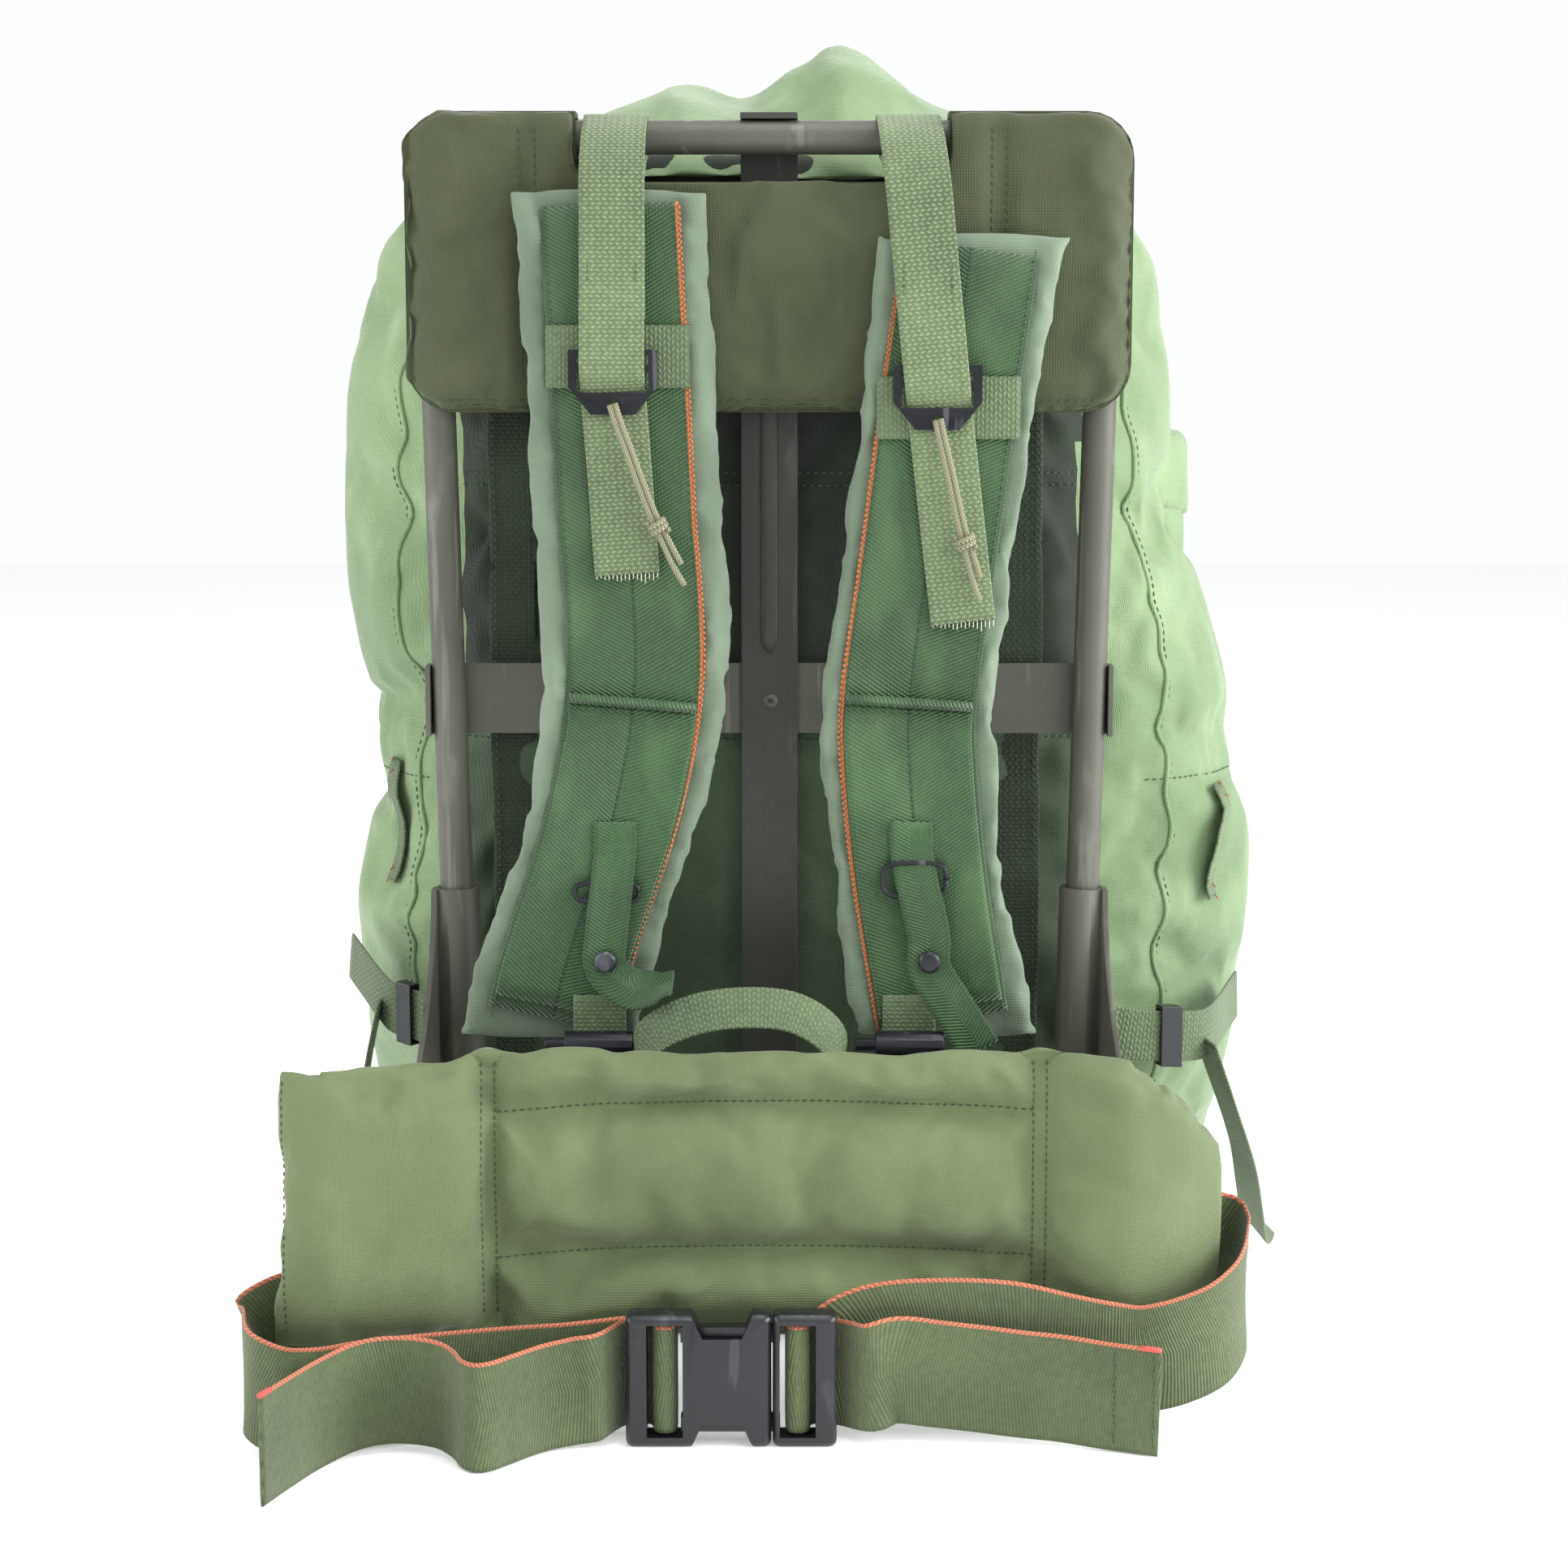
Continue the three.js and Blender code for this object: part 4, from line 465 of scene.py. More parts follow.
def sweep_into(mesh, path, across, width, thick, ring=16, edge=0.35):
    """Extrudes a rounded outline along a path in a bmesh with run and side values."""
    if len(path) < 2:
        print("a path missed its surface")
        return 0.0
    run_value = mesh.verts.layers.float.get("run") or mesh.verts.layers.float.new("run")
    side_value = mesh.verts.layers.float.get("side") or mesh.verts.layers.float.new("side")
    loop = bmesh.ops.create_circle(mesh, segments=ring, radius=1)["verts"]
    outline = [(power_of(v.co.x, edge) / 2, power_of(v.co.y, edge) / 2)
               if abs(v.co.x) > 1e-4 else (0.0, math.copysign(0.5, v.co.y)) for v in loop]
    outline = [(x, 0.0 if abs(y) < 0.03 else y) for x, y in outline]
    edges = list(dict.fromkeys(e for v in loop for e in v.link_edges))
    first, run = edges, 0.0
    for i, point in enumerate(path):
        if i:
            made = bmesh.ops.extrude_edge_only(mesh, edges=edges)["geom"]
            fresh = {g for g in made if isinstance(g, bmesh.types.BMVert)}
            edges = [g for g in made if isinstance(g, bmesh.types.BMEdge) and set(g.verts) <= fresh]
            loop = [next(e.other_vert(v) for e in v.link_edges if e.other_vert(v) in fresh)
                    for v in loop]
            run += (point - path[i - 1]).length
        share = i / (len(path) - 1)
        tangent = (path[min(i + 1, len(path) - 1)] - path[max(i - 1, 0)]).normalized()
        wide = Vector(measured(across, share))
        wide = (wide - tangent * wide.dot(tangent)).normalized()
        deep = tangent.cross(wide)
        for vert, (x, y) in zip(loop, outline):
            right, ahead = x * measured(width, share), y * measured(thick, share)
            vert.co = point + wide * x * measured(width, share) + deep * y * measured(thick, share)
            vert[run_value] = run
            vert[side_value] = right + (ahead if edge == 1 else 0)
    bmesh.ops.contextual_create(mesh, geom=first)
    bmesh.ops.contextual_create(mesh, geom=edges)
    return run


def make_piece(mesh, name, look, stands_for=(), sharp=None):
    """Turns a bmesh into a finished piece that rides on the pack."""
    bmesh.ops.recalc_face_normals(mesh, faces=mesh.faces[:])
    data = bpy.data.meshes.new(name)
    mesh.to_mesh(data)
    mesh.free()
    data.shade_smooth()
    if sharp:
        data.set_sharp_from_angle(angle=math.radians(sharp))
    data.materials.append(look)
    piece = bpy.data.objects.new(name, data)
    bpy.context.collection.objects.link(piece)
    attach(piece, "root")
    if stands_for:
        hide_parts(*stands_for)
    return piece


def sweep(name, look, path, across, width, thick, stands_for=(), ring=16, edge=0.35):
    mesh = bmesh.new()
    long = sweep_into(mesh, path, across, width, thick, ring, edge)
    piece = make_piece(mesh, name, look, stands_for)
    print(name, "run", round(long, 3), "faces", len(piece.data.polygons))
    return piece


def tube(name, look, path, diameter, stands_for=(), ring=16):
    side = Vector((0.31, 0.53, 0.79))
    return sweep(name, look, path, side, diameter, diameter, stands_for, ring, 1)


UP = Vector((0, 0, 1))
EAST = Vector((1, 0, 0))
AHEAD = Vector((0, 1, 0))  # From the wearer into the pack
print("sweep ready")

# %% [markdown]
# ## Cloth from the solids
# A soft piece starts as its CAD solid, so that it sits where the frame, straps and openings expect
# it. The outer skin is remeshed into even squares, then Blender's Cloth is given a little more
# cloth than the shape needs and some air inside. It buckles into real folds between the places
# that seams and straps hold. How far each point may move is limited, so it stays clear of others.


# %% Cloth helpers
def copy_of(node):
    mesh = bmesh.new()
    mesh.from_mesh(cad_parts[node].data)
    bmesh.ops.remove_doubles(mesh, verts=mesh.verts[:], dist=0.01 * MM)
    return mesh


def outer_skin(node, middle):
    """The outside of a hollow solid, closed over its openings."""
    mesh = copy_of(node)
    inside = [f for f in mesh.faces if f.normal.dot(f.calc_center_median() - middle) < 0]
    bmesh.ops.delete(mesh, geom=inside, context="FACES")
    bmesh.ops.holes_fill(mesh, edges=mesh.edges[:], sides=0)
    return mesh


def settled(piece):
    """Keeps the mesh as its modifiers leave it."""
    shaped = bpy.data.meshes.new_from_object(piece.evaluated_get(bpy.context.evaluated_depsgraph_get()))
    piece.modifiers.clear()
    piece.data = shaped
    return piece


def remesh(piece, voxel):
    skin = piece.modifiers.new("skin", "REMESH")
    skin.mode = "VOXEL"
    skin.voxel_size = voxel
    skin.use_smooth_shade = True
    return settled(piece)


STIFFNESS = 12.0


def relax(piece, growth, pressure, reach, held, frames=20):
    """Lets the cloth buckle and swell. reach says how far a point may move, held what is pinned."""
    group = piece.vertex_groups.new(name="held")
    starts = [v.co.copy() for v in piece.data.vertices]
    for v in piece.data.vertices:
        group.add([v.index], held(v.co, v.normal), "REPLACE")
    cloth = piece.modifiers.new("cloth", "CLOTH")
    cloth.settings.quality = 5
    cloth.settings.mass = 0.3
    cloth.settings.tension_stiffness = STIFFNESS
    cloth.settings.compression_stiffness = STIFFNESS
    cloth.settings.shear_stiffness = STIFFNESS * 0.4
    cloth.settings.bending_stiffness = 0.4
    cloth.settings.use_pressure = True
    cloth.settings.uniform_pressure_force = pressure
    cloth.settings.shrink_min = -growth
    cloth.settings.effector_weights.gravity = 0
    cloth.settings.vertex_group_mass = "held"
    cloth.collision_settings.use_collision = False
    for step in range(1, frames + 1):
        scene.frame_set(step)
    shaped = piece.evaluated_get(bpy.context.evaluated_depsgraph_get()).data
    ends = [v.co.copy() for v in shaped.vertices]
    piece.modifiers.clear()
    piece.vertex_groups.clear()
    far = 0.0
    for v, start, end in zip(piece.data.vertices, starts, ends):
        move, limit = end - start, max(reach(start), 1e-6)
        if move.length > 1e-7:
            move *= limit * math.tanh(move.length / limit) / move.length
        v.co = start + move
        far = max(far, move.length)
    piece.data.update()
    print(piece.name, "moved at most", round(far / MM, 1), "mm")


def crumple(piece, depth, per_metre, stretch=(1, 1, 1), where=None):
    """Presses sharp random creases into the cloth along its normals."""
    size = Vector(stretch) * per_metre
    for v in piece.data.vertices:
        spot = Vector((v.co.x * size.x, v.co.y * size.y, v.co.z * size.z))
        ridge = noise.ridged_multi_fractal(spot, 0.9, 2.1, 3, 1.0, 2.0)
        amount = depth * (where(v.co) if where else 1.0)
        v.co -= v.normal * amount * min(ridge, 2.0) * 0.5
    piece.data.update()


def soften(piece, times):
    """Rounds corners by averaging each point with the points round it."""
    mesh = bmesh.new()
    mesh.from_mesh(piece.data)
    for _ in range(times):
        bmesh.ops.smooth_vert(mesh, verts=mesh.verts[:], factor=0.5,
                              use_axis_x=True, use_axis_y=True, use_axis_z=True)
    mesh.to_mesh(piece.data)
    mesh.free()


def round_off(piece):
    smooth = piece.modifiers.new("smooth", "SUBSURF")
    smooth.levels = 1
    smooth.render_levels = 1


def surface_of(piece):
    return BVHTree.FromObject(piece, bpy.context.evaluated_depsgraph_get())


def lay(surface, points, aim, lift):
    """The points dropped on a surface along aim, and lifted off it."""
    laid = []
    for point in points:
        way = Vector(aim(point) if callable(aim) else aim).normalized()
        spot, normal, _, _ = surface.ray_cast(Vector(point) - way * 0.12, way, 0.3)
        if spot:
            laid.append(spot - way * lift)
    return laid


def stitch_into(mesh, points, pitch=4 * MM, thick=0.9 * MM):
    """Rows of short raised stitches along a line."""
    spots = evenly(points, pitch)
    for a, b in zip(spots, spots[1:]):
        bead = bmesh.ops.create_icosphere(mesh, subdivisions=1, radius=0.5)["verts"]
        turn = (b - a).to_track_quat("X", "Z").to_matrix().to_4x4()
        size = Matrix.Diagonal((pitch * 0.72, thick, thick, 1))
        bmesh.ops.transform(mesh, matrix=Matrix.Translation((a + b) / 2) @ turn @ size, verts=bead)


def stitches(name, look, lines, pitch=4 * MM, thick=0.9 * MM):
    mesh = bmesh.new()
    for points in lines:
        if len(points) > 1:
            stitch_into(mesh, points, pitch, thick)
    piece = make_piece(mesh, name, look)
    print(name, "faces", len(piece.data.polygons))
    return piece


print("cloth helpers ready")

# %% [markdown]
# ### The bag
# Nylon duck sewn in panels round a full load. The seams at the four corners and the line where the
# straps cross hold it in, and loose cloth between them folds. The side towards the frame is flat,
# held by the frame. Its colour there is darker, partly because that cloth was never faded and partly
# as painted shade, which is lighter below the hem.

# %% Bag
bag_low, bag_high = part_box("bag_body")
bag_skin = outer_skin("bag_body", Vector((0, 0, 0.3)))
bag = make_piece(bag_skin, "bag_cloth", coated_duck, ["bag_body"])
remesh(bag, 7 * MM)
SIDE_SEAM_Y = -95 * MM
WAIST_SEAM_Z = 285 * MM
PANEL_HALF = 151 * MM  # Half the width of the panel behind the frame, coloured darker with painted shade
PANEL_HEM_Z = 312 * MM


def bag_held(spot, normal):
    if spot.z < 12 * MM or spot.z > bag_high.z - 12 * MM:
        return 1.0
    if spot.y < bag_low.y + 5 * MM and abs(spot.x) < 150 * MM:
        return 0.9
    if abs(spot.z - WAIST_SEAM_Z) < 4 * MM or abs(spot.y - SIDE_SEAM_Y) < 4 * MM:
        return 0.8
    return 0.0


def under_lid(spot):
    return spot.z > 415 * MM and spot.y > 40 * MM


def bag_reach(spot):
    if under_lid(spot) or spot.z > 560 * MM:
        return 1.0 * MM
    if spot.z < 25 * MM:
        return 0.5 * MM
    return 13 * MM


crumple(bag, 5.0 * MM, 15, (1, 1, 0.5), lambda spot: 0.4 if under_lid(spot) else 1.0)
relax(bag, 0.07, 2.5, bag_reach, bag_held)
for v in bag.data.vertices:
    if abs(v.co.x) < 165 * MM and v.co.y < 0:
        v.co.y = max(v.co.y, bag_low.y + 0.2 * MM)
    v.co.z = max(v.co.z, 0.0)
# The panel behind the frame takes the darker cloth with painted shade, deeper above the hem than below
# it
bag.data.materials.append(shaded_duck)
bag.data.materials.append(low_shade_duck)
for face in bag.data.polygons:
    if face.center.y < -60 * MM and abs(face.center.x) < PANEL_HALF:
        face.material_index = 1 if face.center.z > PANEL_HEM_Z else 2
round_off(bag)
print("bag faces", len(bag.data.polygons))

# %% [markdown]
# ### Seams of the bag
# A felled seam shows as a low ridge with a row of stitches beside it. Each is a thin round sweep
# that is dropped on the finished cloth from outside, so that it follows the folds.


# %% Bag seams
def toward_axis(point):
    return (-point[0], -point[1], 0)


bag_surface = surface_of(bag)
seam_mesh = bmesh.new()
stitch_mesh = bmesh.new()
for side in (-1, 1):
    rows = [(side * 230 * MM, SIDE_SEAM_Y * 1.1, z * MM) for z in range(35, 560, 5)]
    line = lay(bag_surface, rows, toward_axis, 0.3 * MM)
    sweep_into(seam_mesh, evenly(line, 5 * MM), UP + EAST, 2.6 * MM, 2.6 * MM, 8, 1)
    beside = Vector((side * 4 * MM, 4 * MM, 0)) * 0.6
    stitch_into(stitch_mesh, [p + beside for p in line], 4 * MM, 0.8 * MM)
    rows = [(side * 260 * MM * math.cos(t / 20), -150 * MM + 300 * MM * t / 30, WAIST_SEAM_Z)
            for t in range(2, 30)]
    line = lay(bag_surface, rows, toward_axis, 0.4 * MM)
    stitch_into(stitch_mesh, line, 4 * MM, 0.8 * MM)
make_piece(seam_mesh, "bag_seams", coated_duck)
make_piece(stitch_mesh, "bag_stitches", dark_thread)
print("bag seams laid")

# %% [markdown]
# ### Frame side of the bag
# Two webbing strips run down the panel behind the tubes, coloured dark with painted shade, and a
# hem and a seam cross it. They are laid on the finished cloth from the wearer's side.

# %% Frame side of the bag
CLEAR_Y = -0.18  # In front of the bag, where the rows are dropped from
panel_lines = []
for k, x in enumerate((-125 * MM, 121 * MM)):
    strip = lay(bag_surface, [(x, CLEAR_Y, z * MM) for z in range(140, 560, 6)], AHEAD, 0.9 * MM)
    sweep(f"frame_side_strip_{k + 1}", shade_web, strip, EAST, 22 * MM, 1.4 * MM)
    panel_lines += [[p + Vector((d * MM, -0.9 * MM, 0)) for p in strip] for d in (-8, 8)]
for level in (437 * MM, 431 * MM, 308 * MM):
    rows = [(x * MM, CLEAR_Y, level) for x in range(-150, 152, 4)]
    panel_lines.append(lay(bag_surface, rows, AHEAD, 0.3 * MM))
stitches("frame_side_stitches", dark_thread, panel_lines)

# %% [markdown]
# ### Lid
# The lid is one dome of the same cloth over the mouth, with an apron down the far side. The load
# pushes it up in lumps, and the cloth between them falls in folds. The apron is moved a few
# millimetres out, so that the folds of the bag stay under it.

# %% Lid
lid_low, lid_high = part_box("lid_flap")
lid_skin = outer_skin("lid_flap", Vector((0, 0, 0.5)))
lid = make_piece(lid_skin, "lid_cloth", coated_duck, ["lid_flap"])
remesh(lid, 6 * MM)
crumple(lid, 4.0 * MM, 16, (1, 0.7, 1), lambda spot: 1.0 if spot.z > lid_high.z - 60 * MM else 0.3)


def lid_held(spot, normal):
    return 1.0 if spot.z < lid_low.z + 6 * MM or normal.z < -0.3 else 0.0


relax(lid, 0.08, 2.0, lambda spot: 9 * MM if spot.z > lid_high.z - 70 * MM else 1.5 * MM, lid_held)
for v in lid.data.vertices:
    if v.co.y > 20 * MM and v.co.z < lid_high.z - 50 * MM and v.normal.y > 0:
        v.co += v.normal * 3.5 * MM
# Where each lump is from left to right, how wide and how high, in mm
LID_LUMPS = ((36, 26, 11), (-14, 17, -9), (-48, 24, 5), (19, 5, -3.5), (88, 22, -5), (-92, 20, -4))
for v in lid.data.vertices:
    top = min(max((v.co.z - (lid_high.z - 45 * MM)) / (35 * MM), 0.0), 1.0)
    lift = sum(rise * math.exp(-((v.co.x / MM - x) / wide) ** 2) for x, wide, rise in LID_LUMPS)
    v.co.z += lift * MM * top
round_off(lid)
lid_surface = surface_of(lid)
print("lid faces", len(lid.data.polygons))

# %% [markdown]
# ### Pockets on the far side
# Six pouches with their flaps. Each is a small bag of its own, so each gets the same treatment with
# finer squares. A flap is moved a little proud of its pouch and stitched twice along its edge.

# %% Pockets
flap_lines = []
for row in ("lower", "upper"):
    for side in ("left", "centre", "right"):
        for part in ("pocket", "flap"):
            node = f"{row}_{part}_{side}"
            low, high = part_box(node)
            middle = (low + high) / 2
            if part == "flap":
                middle.z = low.z
            skin = outer_skin(node, middle)
            cloth = make_piece(skin, node + "_cloth", coated_duck, [node])
            remesh(cloth, 4.5 * MM)
            crumple(cloth, 2.0 * MM, 24, (1, 1, 0.6))
            if part == "pocket":
                relax(cloth, 0.05, 2.0, lambda spot: 3 * MM, lambda spot, normal: 0.0, frames=12)
            else:
                for v in cloth.data.vertices:
                    v.co += v.normal * 2.6 * MM
            round_off(cloth)
            if part == "flap":
                face = surface_of(cloth)
                for lift in (4, 10):
                    rows = [(x * MM, high.y + 0.03, low.z + lift * MM)
                            for x in range(round(low.x / MM) + 5, round(high.x / MM) - 4, 3)]
                    flap_lines.append(lay(face, rows, -AHEAD, 0.2 * MM))
stitches("flap_stitches", dark_thread, flap_lines)
print("12 pocket pieces")

# %% [markdown]
# ### Back pocket
# The pocket that slips over the top of the frame has a foam-padded front. The front block is cut
# off the solid, swelled and seamed; the rest stays a plain sleeve behind it.

# %% Back pocket
pocket_low, pocket_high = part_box("back_pocket")
FRONT_CUT = TUBE_Y - TUBE_RADIUS - 0.8 * MM
halves = {}
for half, keep_front in (("padding", True), ("sleeve", False)):
    mesh = copy_of("back_pocket")
    bmesh.ops.bisect_plane(mesh, geom=mesh.verts[:] + mesh.edges[:] + mesh.faces[:], dist=1e-6,
                           plane_co=(0, FRONT_CUT, 0), plane_no=(0, 1, 0),
                           clear_outer=keep_front, clear_inner=not keep_front)
    bmesh.ops.holes_fill(mesh, edges=mesh.edges[:], sides=0)
    halves[half] = make_piece(mesh, f"back_pocket_{half}", pocket_duck, ["back_pocket"],
                              40)
padding = halves["padding"]
remesh(padding, 4 * MM)
POCKET_SEAMS = (-112 * MM, 107 * MM)


def strap_over(x):
    return -128 * MM < x < -18 * MM or 36 * MM < x < 146 * MM


def padding_held(spot, normal):
    if spot.y > FRONT_CUT - 2 * MM or min(abs(spot.x - seam) for seam in POCKET_SEAMS) < 3 * MM:
        return 1.0
    return 0.6 if strap_over(spot.x) and spot.z < 570 * MM else 0.0


for v in padding.data.vertices:
    near_seam = min(abs(v.co.x - seam) for seam in POCKET_SEAMS)
    if v.normal.y < -0.5:
        v.co.y += 3.5 * MM * math.exp(-(near_seam / (6 * MM)) ** 2)
        rim = min(v.co.x - pocket_low.x, pocket_high.x - v.co.x, v.co.z - pocket_low.z)
        v.co.y += 7 * MM * math.exp(-(max(rim, 0.0) / (9 * MM)) ** 2)
relax(padding, 0.06, 6.0, lambda spot: 0.4 * MM if strap_over(spot.x) else 9 * MM, padding_held)
crumple(padding, 1.6 * MM, 16)
for v in padding.data.vertices:
    if strap_over(v.co.x) and v.co.z < 572 * MM:
        v.co.y = max(v.co.y, pocket_low.y)
round_off(padding)
padding_surface = surface_of(padding)
seam_lines = []
for seam in POCKET_SEAMS:
    for off in (-3.5, 3.5):
        rows = [(seam + off * MM, FRONT_CUT - 0.02, z * MM) for z in range(470, 602, 4)]
        seam_lines.append(lay(padding_surface, rows, AHEAD, 0.2 * MM))
hem = [(x * MM, FRONT_CUT - 0.02, 472 * MM) for x in range(-158, 160, 4)]
seam_lines.append(lay(padding_surface, hem, AHEAD, 0.2 * MM))
stitches("back_pocket_stitches", dark_thread, seam_lines)
print("back pocket faces", len(padding.data.polygons))

# %% [markdown]
# ## The frame
# Bent aluminium tube with flat bars riveted to it. The tube is swept again as a smooth round, and
# the pressed parts keep their CAD shape with edges rounded as painted metal's are.


# %% Frame
def dressed(node, name, look, bevel=0.5 * MM, sharp=38):
    """The CAD shape with rounded edges and smooth faces."""
    piece = make_piece(copy_of(node), name, look, [node], sharp)
    if bevel:
        edge = piece.modifiers.new("edge", "BEVEL")
        edge.width = bevel
        edge.segments = 2
        edge.limit_method = "ANGLE"
        edge.angle_limit = math.radians(sharp)
        edge.harden_normals = True
    return piece


FRAME_TOP = tube_high.z - TUBE_RADIUS
FRAME_FOOT = 84 * MM
HALF_TOP = 158 * MM
HALF_FOOT = 148.5 * MM
CORNER = 62 * MM


def frame_half(sign):
    rows = [Vector((sign * HALF_FOOT, TUBE_Y, FRAME_FOOT)),
            Vector((sign * HALF_TOP, TUBE_Y, FRAME_TOP - CORNER))]
    start, turn = rows[-1], Vector((sign * HALF_TOP, TUBE_Y, FRAME_TOP))
    end = Vector((sign * (HALF_TOP - CORNER), TUBE_Y, FRAME_TOP))
    for i in range(1, 13):
        t = i / 12
        rows.append(start * (1 - t) ** 2 + turn * 2 * t * (1 - t) + end * t ** 2)
    return rows


tube_line = evenly(frame_half(-1) + frame_half(1)[::-1], 6 * MM)
tube("frame_tube_round", frame_paint, tube_line, TUBE_RADIUS * 2, ["frame_tube"], 24)
# The centre bar takes the darker copy of the paint, which is painted shade
for node in ("centre_bar", "mid_bar", "gusset_left", "gusset_right", "lower_bow"):
    dressed(node, node + "_painted", centre_bar_shade_paint if node == "centre_bar" else frame_paint)

bead_rows = [(0, TUBE_Y + 4.3 * MM, z * MM) for z in (351, 400, 470, 535)]
sweep("centre_bar_bead", centre_bar_shade_paint, evenly([Vector(r) for r in bead_rows], 6 * MM), EAST,
      lambda share: 8 * MM * min(1, 0.2 + min(share, 1 - share) * 25),
      lambda share: 3.4 * MM * min(1, 0.1 + min(share, 1 - share) * 25), edge=0.8)


def rivet_into(mesh, place, way, radius, high):
    """A domed rivet head."""
    turn = Vector(way).to_track_quat("Z", "Y").to_matrix().to_4x4()
    at = Matrix.Translation(place) @ turn
    made = bmesh.ops.create_uvsphere(mesh, u_segments=16, v_segments=8, radius=1)["verts"]
    bmesh.ops.transform(mesh, matrix=at @ Matrix.Diagonal((radius, radius, high, 1)), verts=made)


rivets = bmesh.new()
holes = bmesh.new()
SHEET = 2.8 * MM
bar_face = TUBE_Y + TUBE_RADIUS - SHEET
rivet_into(rivets, (0.5 * MM, bar_face, 328 * MM), (0, -1, 0), 3.6 * MM, 1.6 * MM)
# A black cap on the centre rivet stands for the dark of its hollow: painted shade
rivet_into(holes, (0.5 * MM, bar_face - 1.1 * MM, 328 * MM), (0, -1, 0), 1.6 * MM, 0.7 * MM)
for sign in (-1, 1):
    for level in (222, 176):
        out = HALF_FOOT + 1.5 * MM + TUBE_RADIUS + 2.9 * MM
        rivet_into(rivets, (sign * out, TUBE_Y, level * MM), (sign, 0, 0), 3 * MM, 1.4 * MM)
    front = TUBE_Y - TUBE_RADIUS - SHEET
    rivet_into(rivets, (sign * 153 * MM, front, 150 * MM), (0, -1, 0), 3 * MM, 1.2 * MM)
    rivet_into(rivets, (sign * 164.6 * MM, TUBE_Y, 329 * MM), (sign, 0, 0), 3 * MM, 1.3 * MM)
make_piece(rivets, "frame_rivets", frame_paint)
make_piece(holes, "centre_rivet_hole_shade", acetal)
print("frame dressed")

# %% [markdown]
# ## Cords first
# Each ladder buckle is pulled loose by a doubled cord that is knotted below its tab. The route is
# the one the solid follows. Two strands lie side by side, and the knot is a few turns round both.

# %% Pull cords
CORD = 3.2 * MM
CORD_ROUTE = ((0, 2.7, 0), (3, 5, 9), (8, 7, 22), (13, 7, 36), (18, 6.5, 49), (24, 6, 62),
              (30, 5.5, 74), (35, 5.5, 82))  # Right, ahead and down in mm
STRAND = CORD * 0.86


def cord_route(side):
    """The solid's route in metres, from the hole in the buckle's tab."""
    low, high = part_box("ladder_buckle_" + side)
    hole_z = (low.z + high.z) / 2 + 0.9 * MM - 17 * MM * 0.62 - 0.6 * MM
    lean = 1 if side == "left" else 0.62
    start = Vector(((low.x + high.x) / 2, low.y, hole_z))
    return [start + Vector((right * lean, -ahead, -down)) * MM for right, ahead, down in CORD_ROUTE]


for side in ("left", "right"):
    route = flow(cord_route(side), 2.5 * MM)
    for k, shift in enumerate((-0.42, 0.42)):
        points = []
        for i, p in enumerate(route[:len(route) - (0, 4)[k]]):
            share = i / len(route)
            spread = CORD * shift * (1 if share < 0.62 else 1 + (share - 0.62) * 2)
            points.append(p + Vector((spread * 0.9, 0, spread * 0.3)))
        tube(f"pull_cord_{side}_{k + 1}", cord_braid, points, STRAND,
                           [f"pull_cord_{side}"], 12)
    knot = bmesh.new()
    at = route[int(len(route) * 0.66)]
    along = (route[int(len(route) * 0.66) + 1] - at).normalized()
    turns = []
    for i in range(0, 61):
        angle = i / 60 * 2.6 * 2 * math.pi
        ring_side = AHEAD.cross(along).normalized()
        ring_up = along.cross(ring_side)
        turns.append(at + along * (i / 60 - 0.5) * 6.5 * MM
                     + (ring_side * math.cos(angle) * 3.5 + ring_up * math.sin(angle) * 2.9) * MM)
    sweep_into(knot, turns, along, STRAND, STRAND, 10, 1)
    knot_piece = make_piece(knot, f"pull_cord_knot_{side}", cord_braid, [f"cord_knot_{side}"])

# %% [markdown]
# ## Shoulder straps
# Each strap is a padded cloth strip with a shiny woven facing sewn down its middle. The facing
# holds the padding in, so the pad is pinned under it and only its two borders swell. The facing is
# a flat sweep that follows the solid level by level.


# %% Following a strap
def level_slice(node, z):
    """The lowest and highest corner of a node's cut at one height."""
    mesh = copy_of(node)
    cut = bmesh.ops.bisect_plane(mesh, geom=mesh.verts[:] + mesh.edges[:] + mesh.faces[:], dist=1e-7,
                                 plane_co=(0, 0, z), plane_no=(0, 0, 1))["geom_cut"]
    spots = [g.co.copy() for g in cut if isinstance(g, bmesh.types.BMVert)]
    mesh.free()
    low = Vector([min(s[i] for s in spots) for i in range(3)])
    return low, Vector([max(s[i] for s in spots) for i in range(3)])


def strap_layer(node):
    """Centre line and width of a layer on a strap, from its top to its foot."""
    low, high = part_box(node)
    count = round((high.z - low.z) / (8 * MM))
    path, wide = [], []
    for i in range(count + 1):
        z = high.z - 1 * MM - (high.z - low.z - 2 * MM) * i / count
        a, b = level_slice(node, z)
        path.append((a + b) / 2)
        wide.append(b.x - a.x)
    for i, here in enumerate(wide):
        before, after = path[max(i - 1, 0)], path[min(i + 1, count)]
        wide[i] = here * abs((after - before).normalized().z)
    return path, wide


def strip_path(node, end):
    """Centre line of a flat band, walked from the end that lies furthest along a direction."""
    mesh = copy_of(node)
    ring = sorted(mesh.verts, key=lambda v: v.co.dot(Vector(end)))[-4:]
    seen, rows = set(ring), []
    while ring:
        rows.append(sum((v.co for v in ring), Vector()) / len(ring))
        ring = list(dict.fromkeys(e.other_vert(v) for v in ring for e in v.link_edges
                                  if e.other_vert(v) not in seen))
        seen |= set(ring)
    mesh.free()
    return rows


print("strap helpers ready")

# %% [markdown]
# The pad's corners are averaged round first, and its borders raised into soft rolls. The overlap is
# a second facing at the foot, with a thick folded hem across its top.

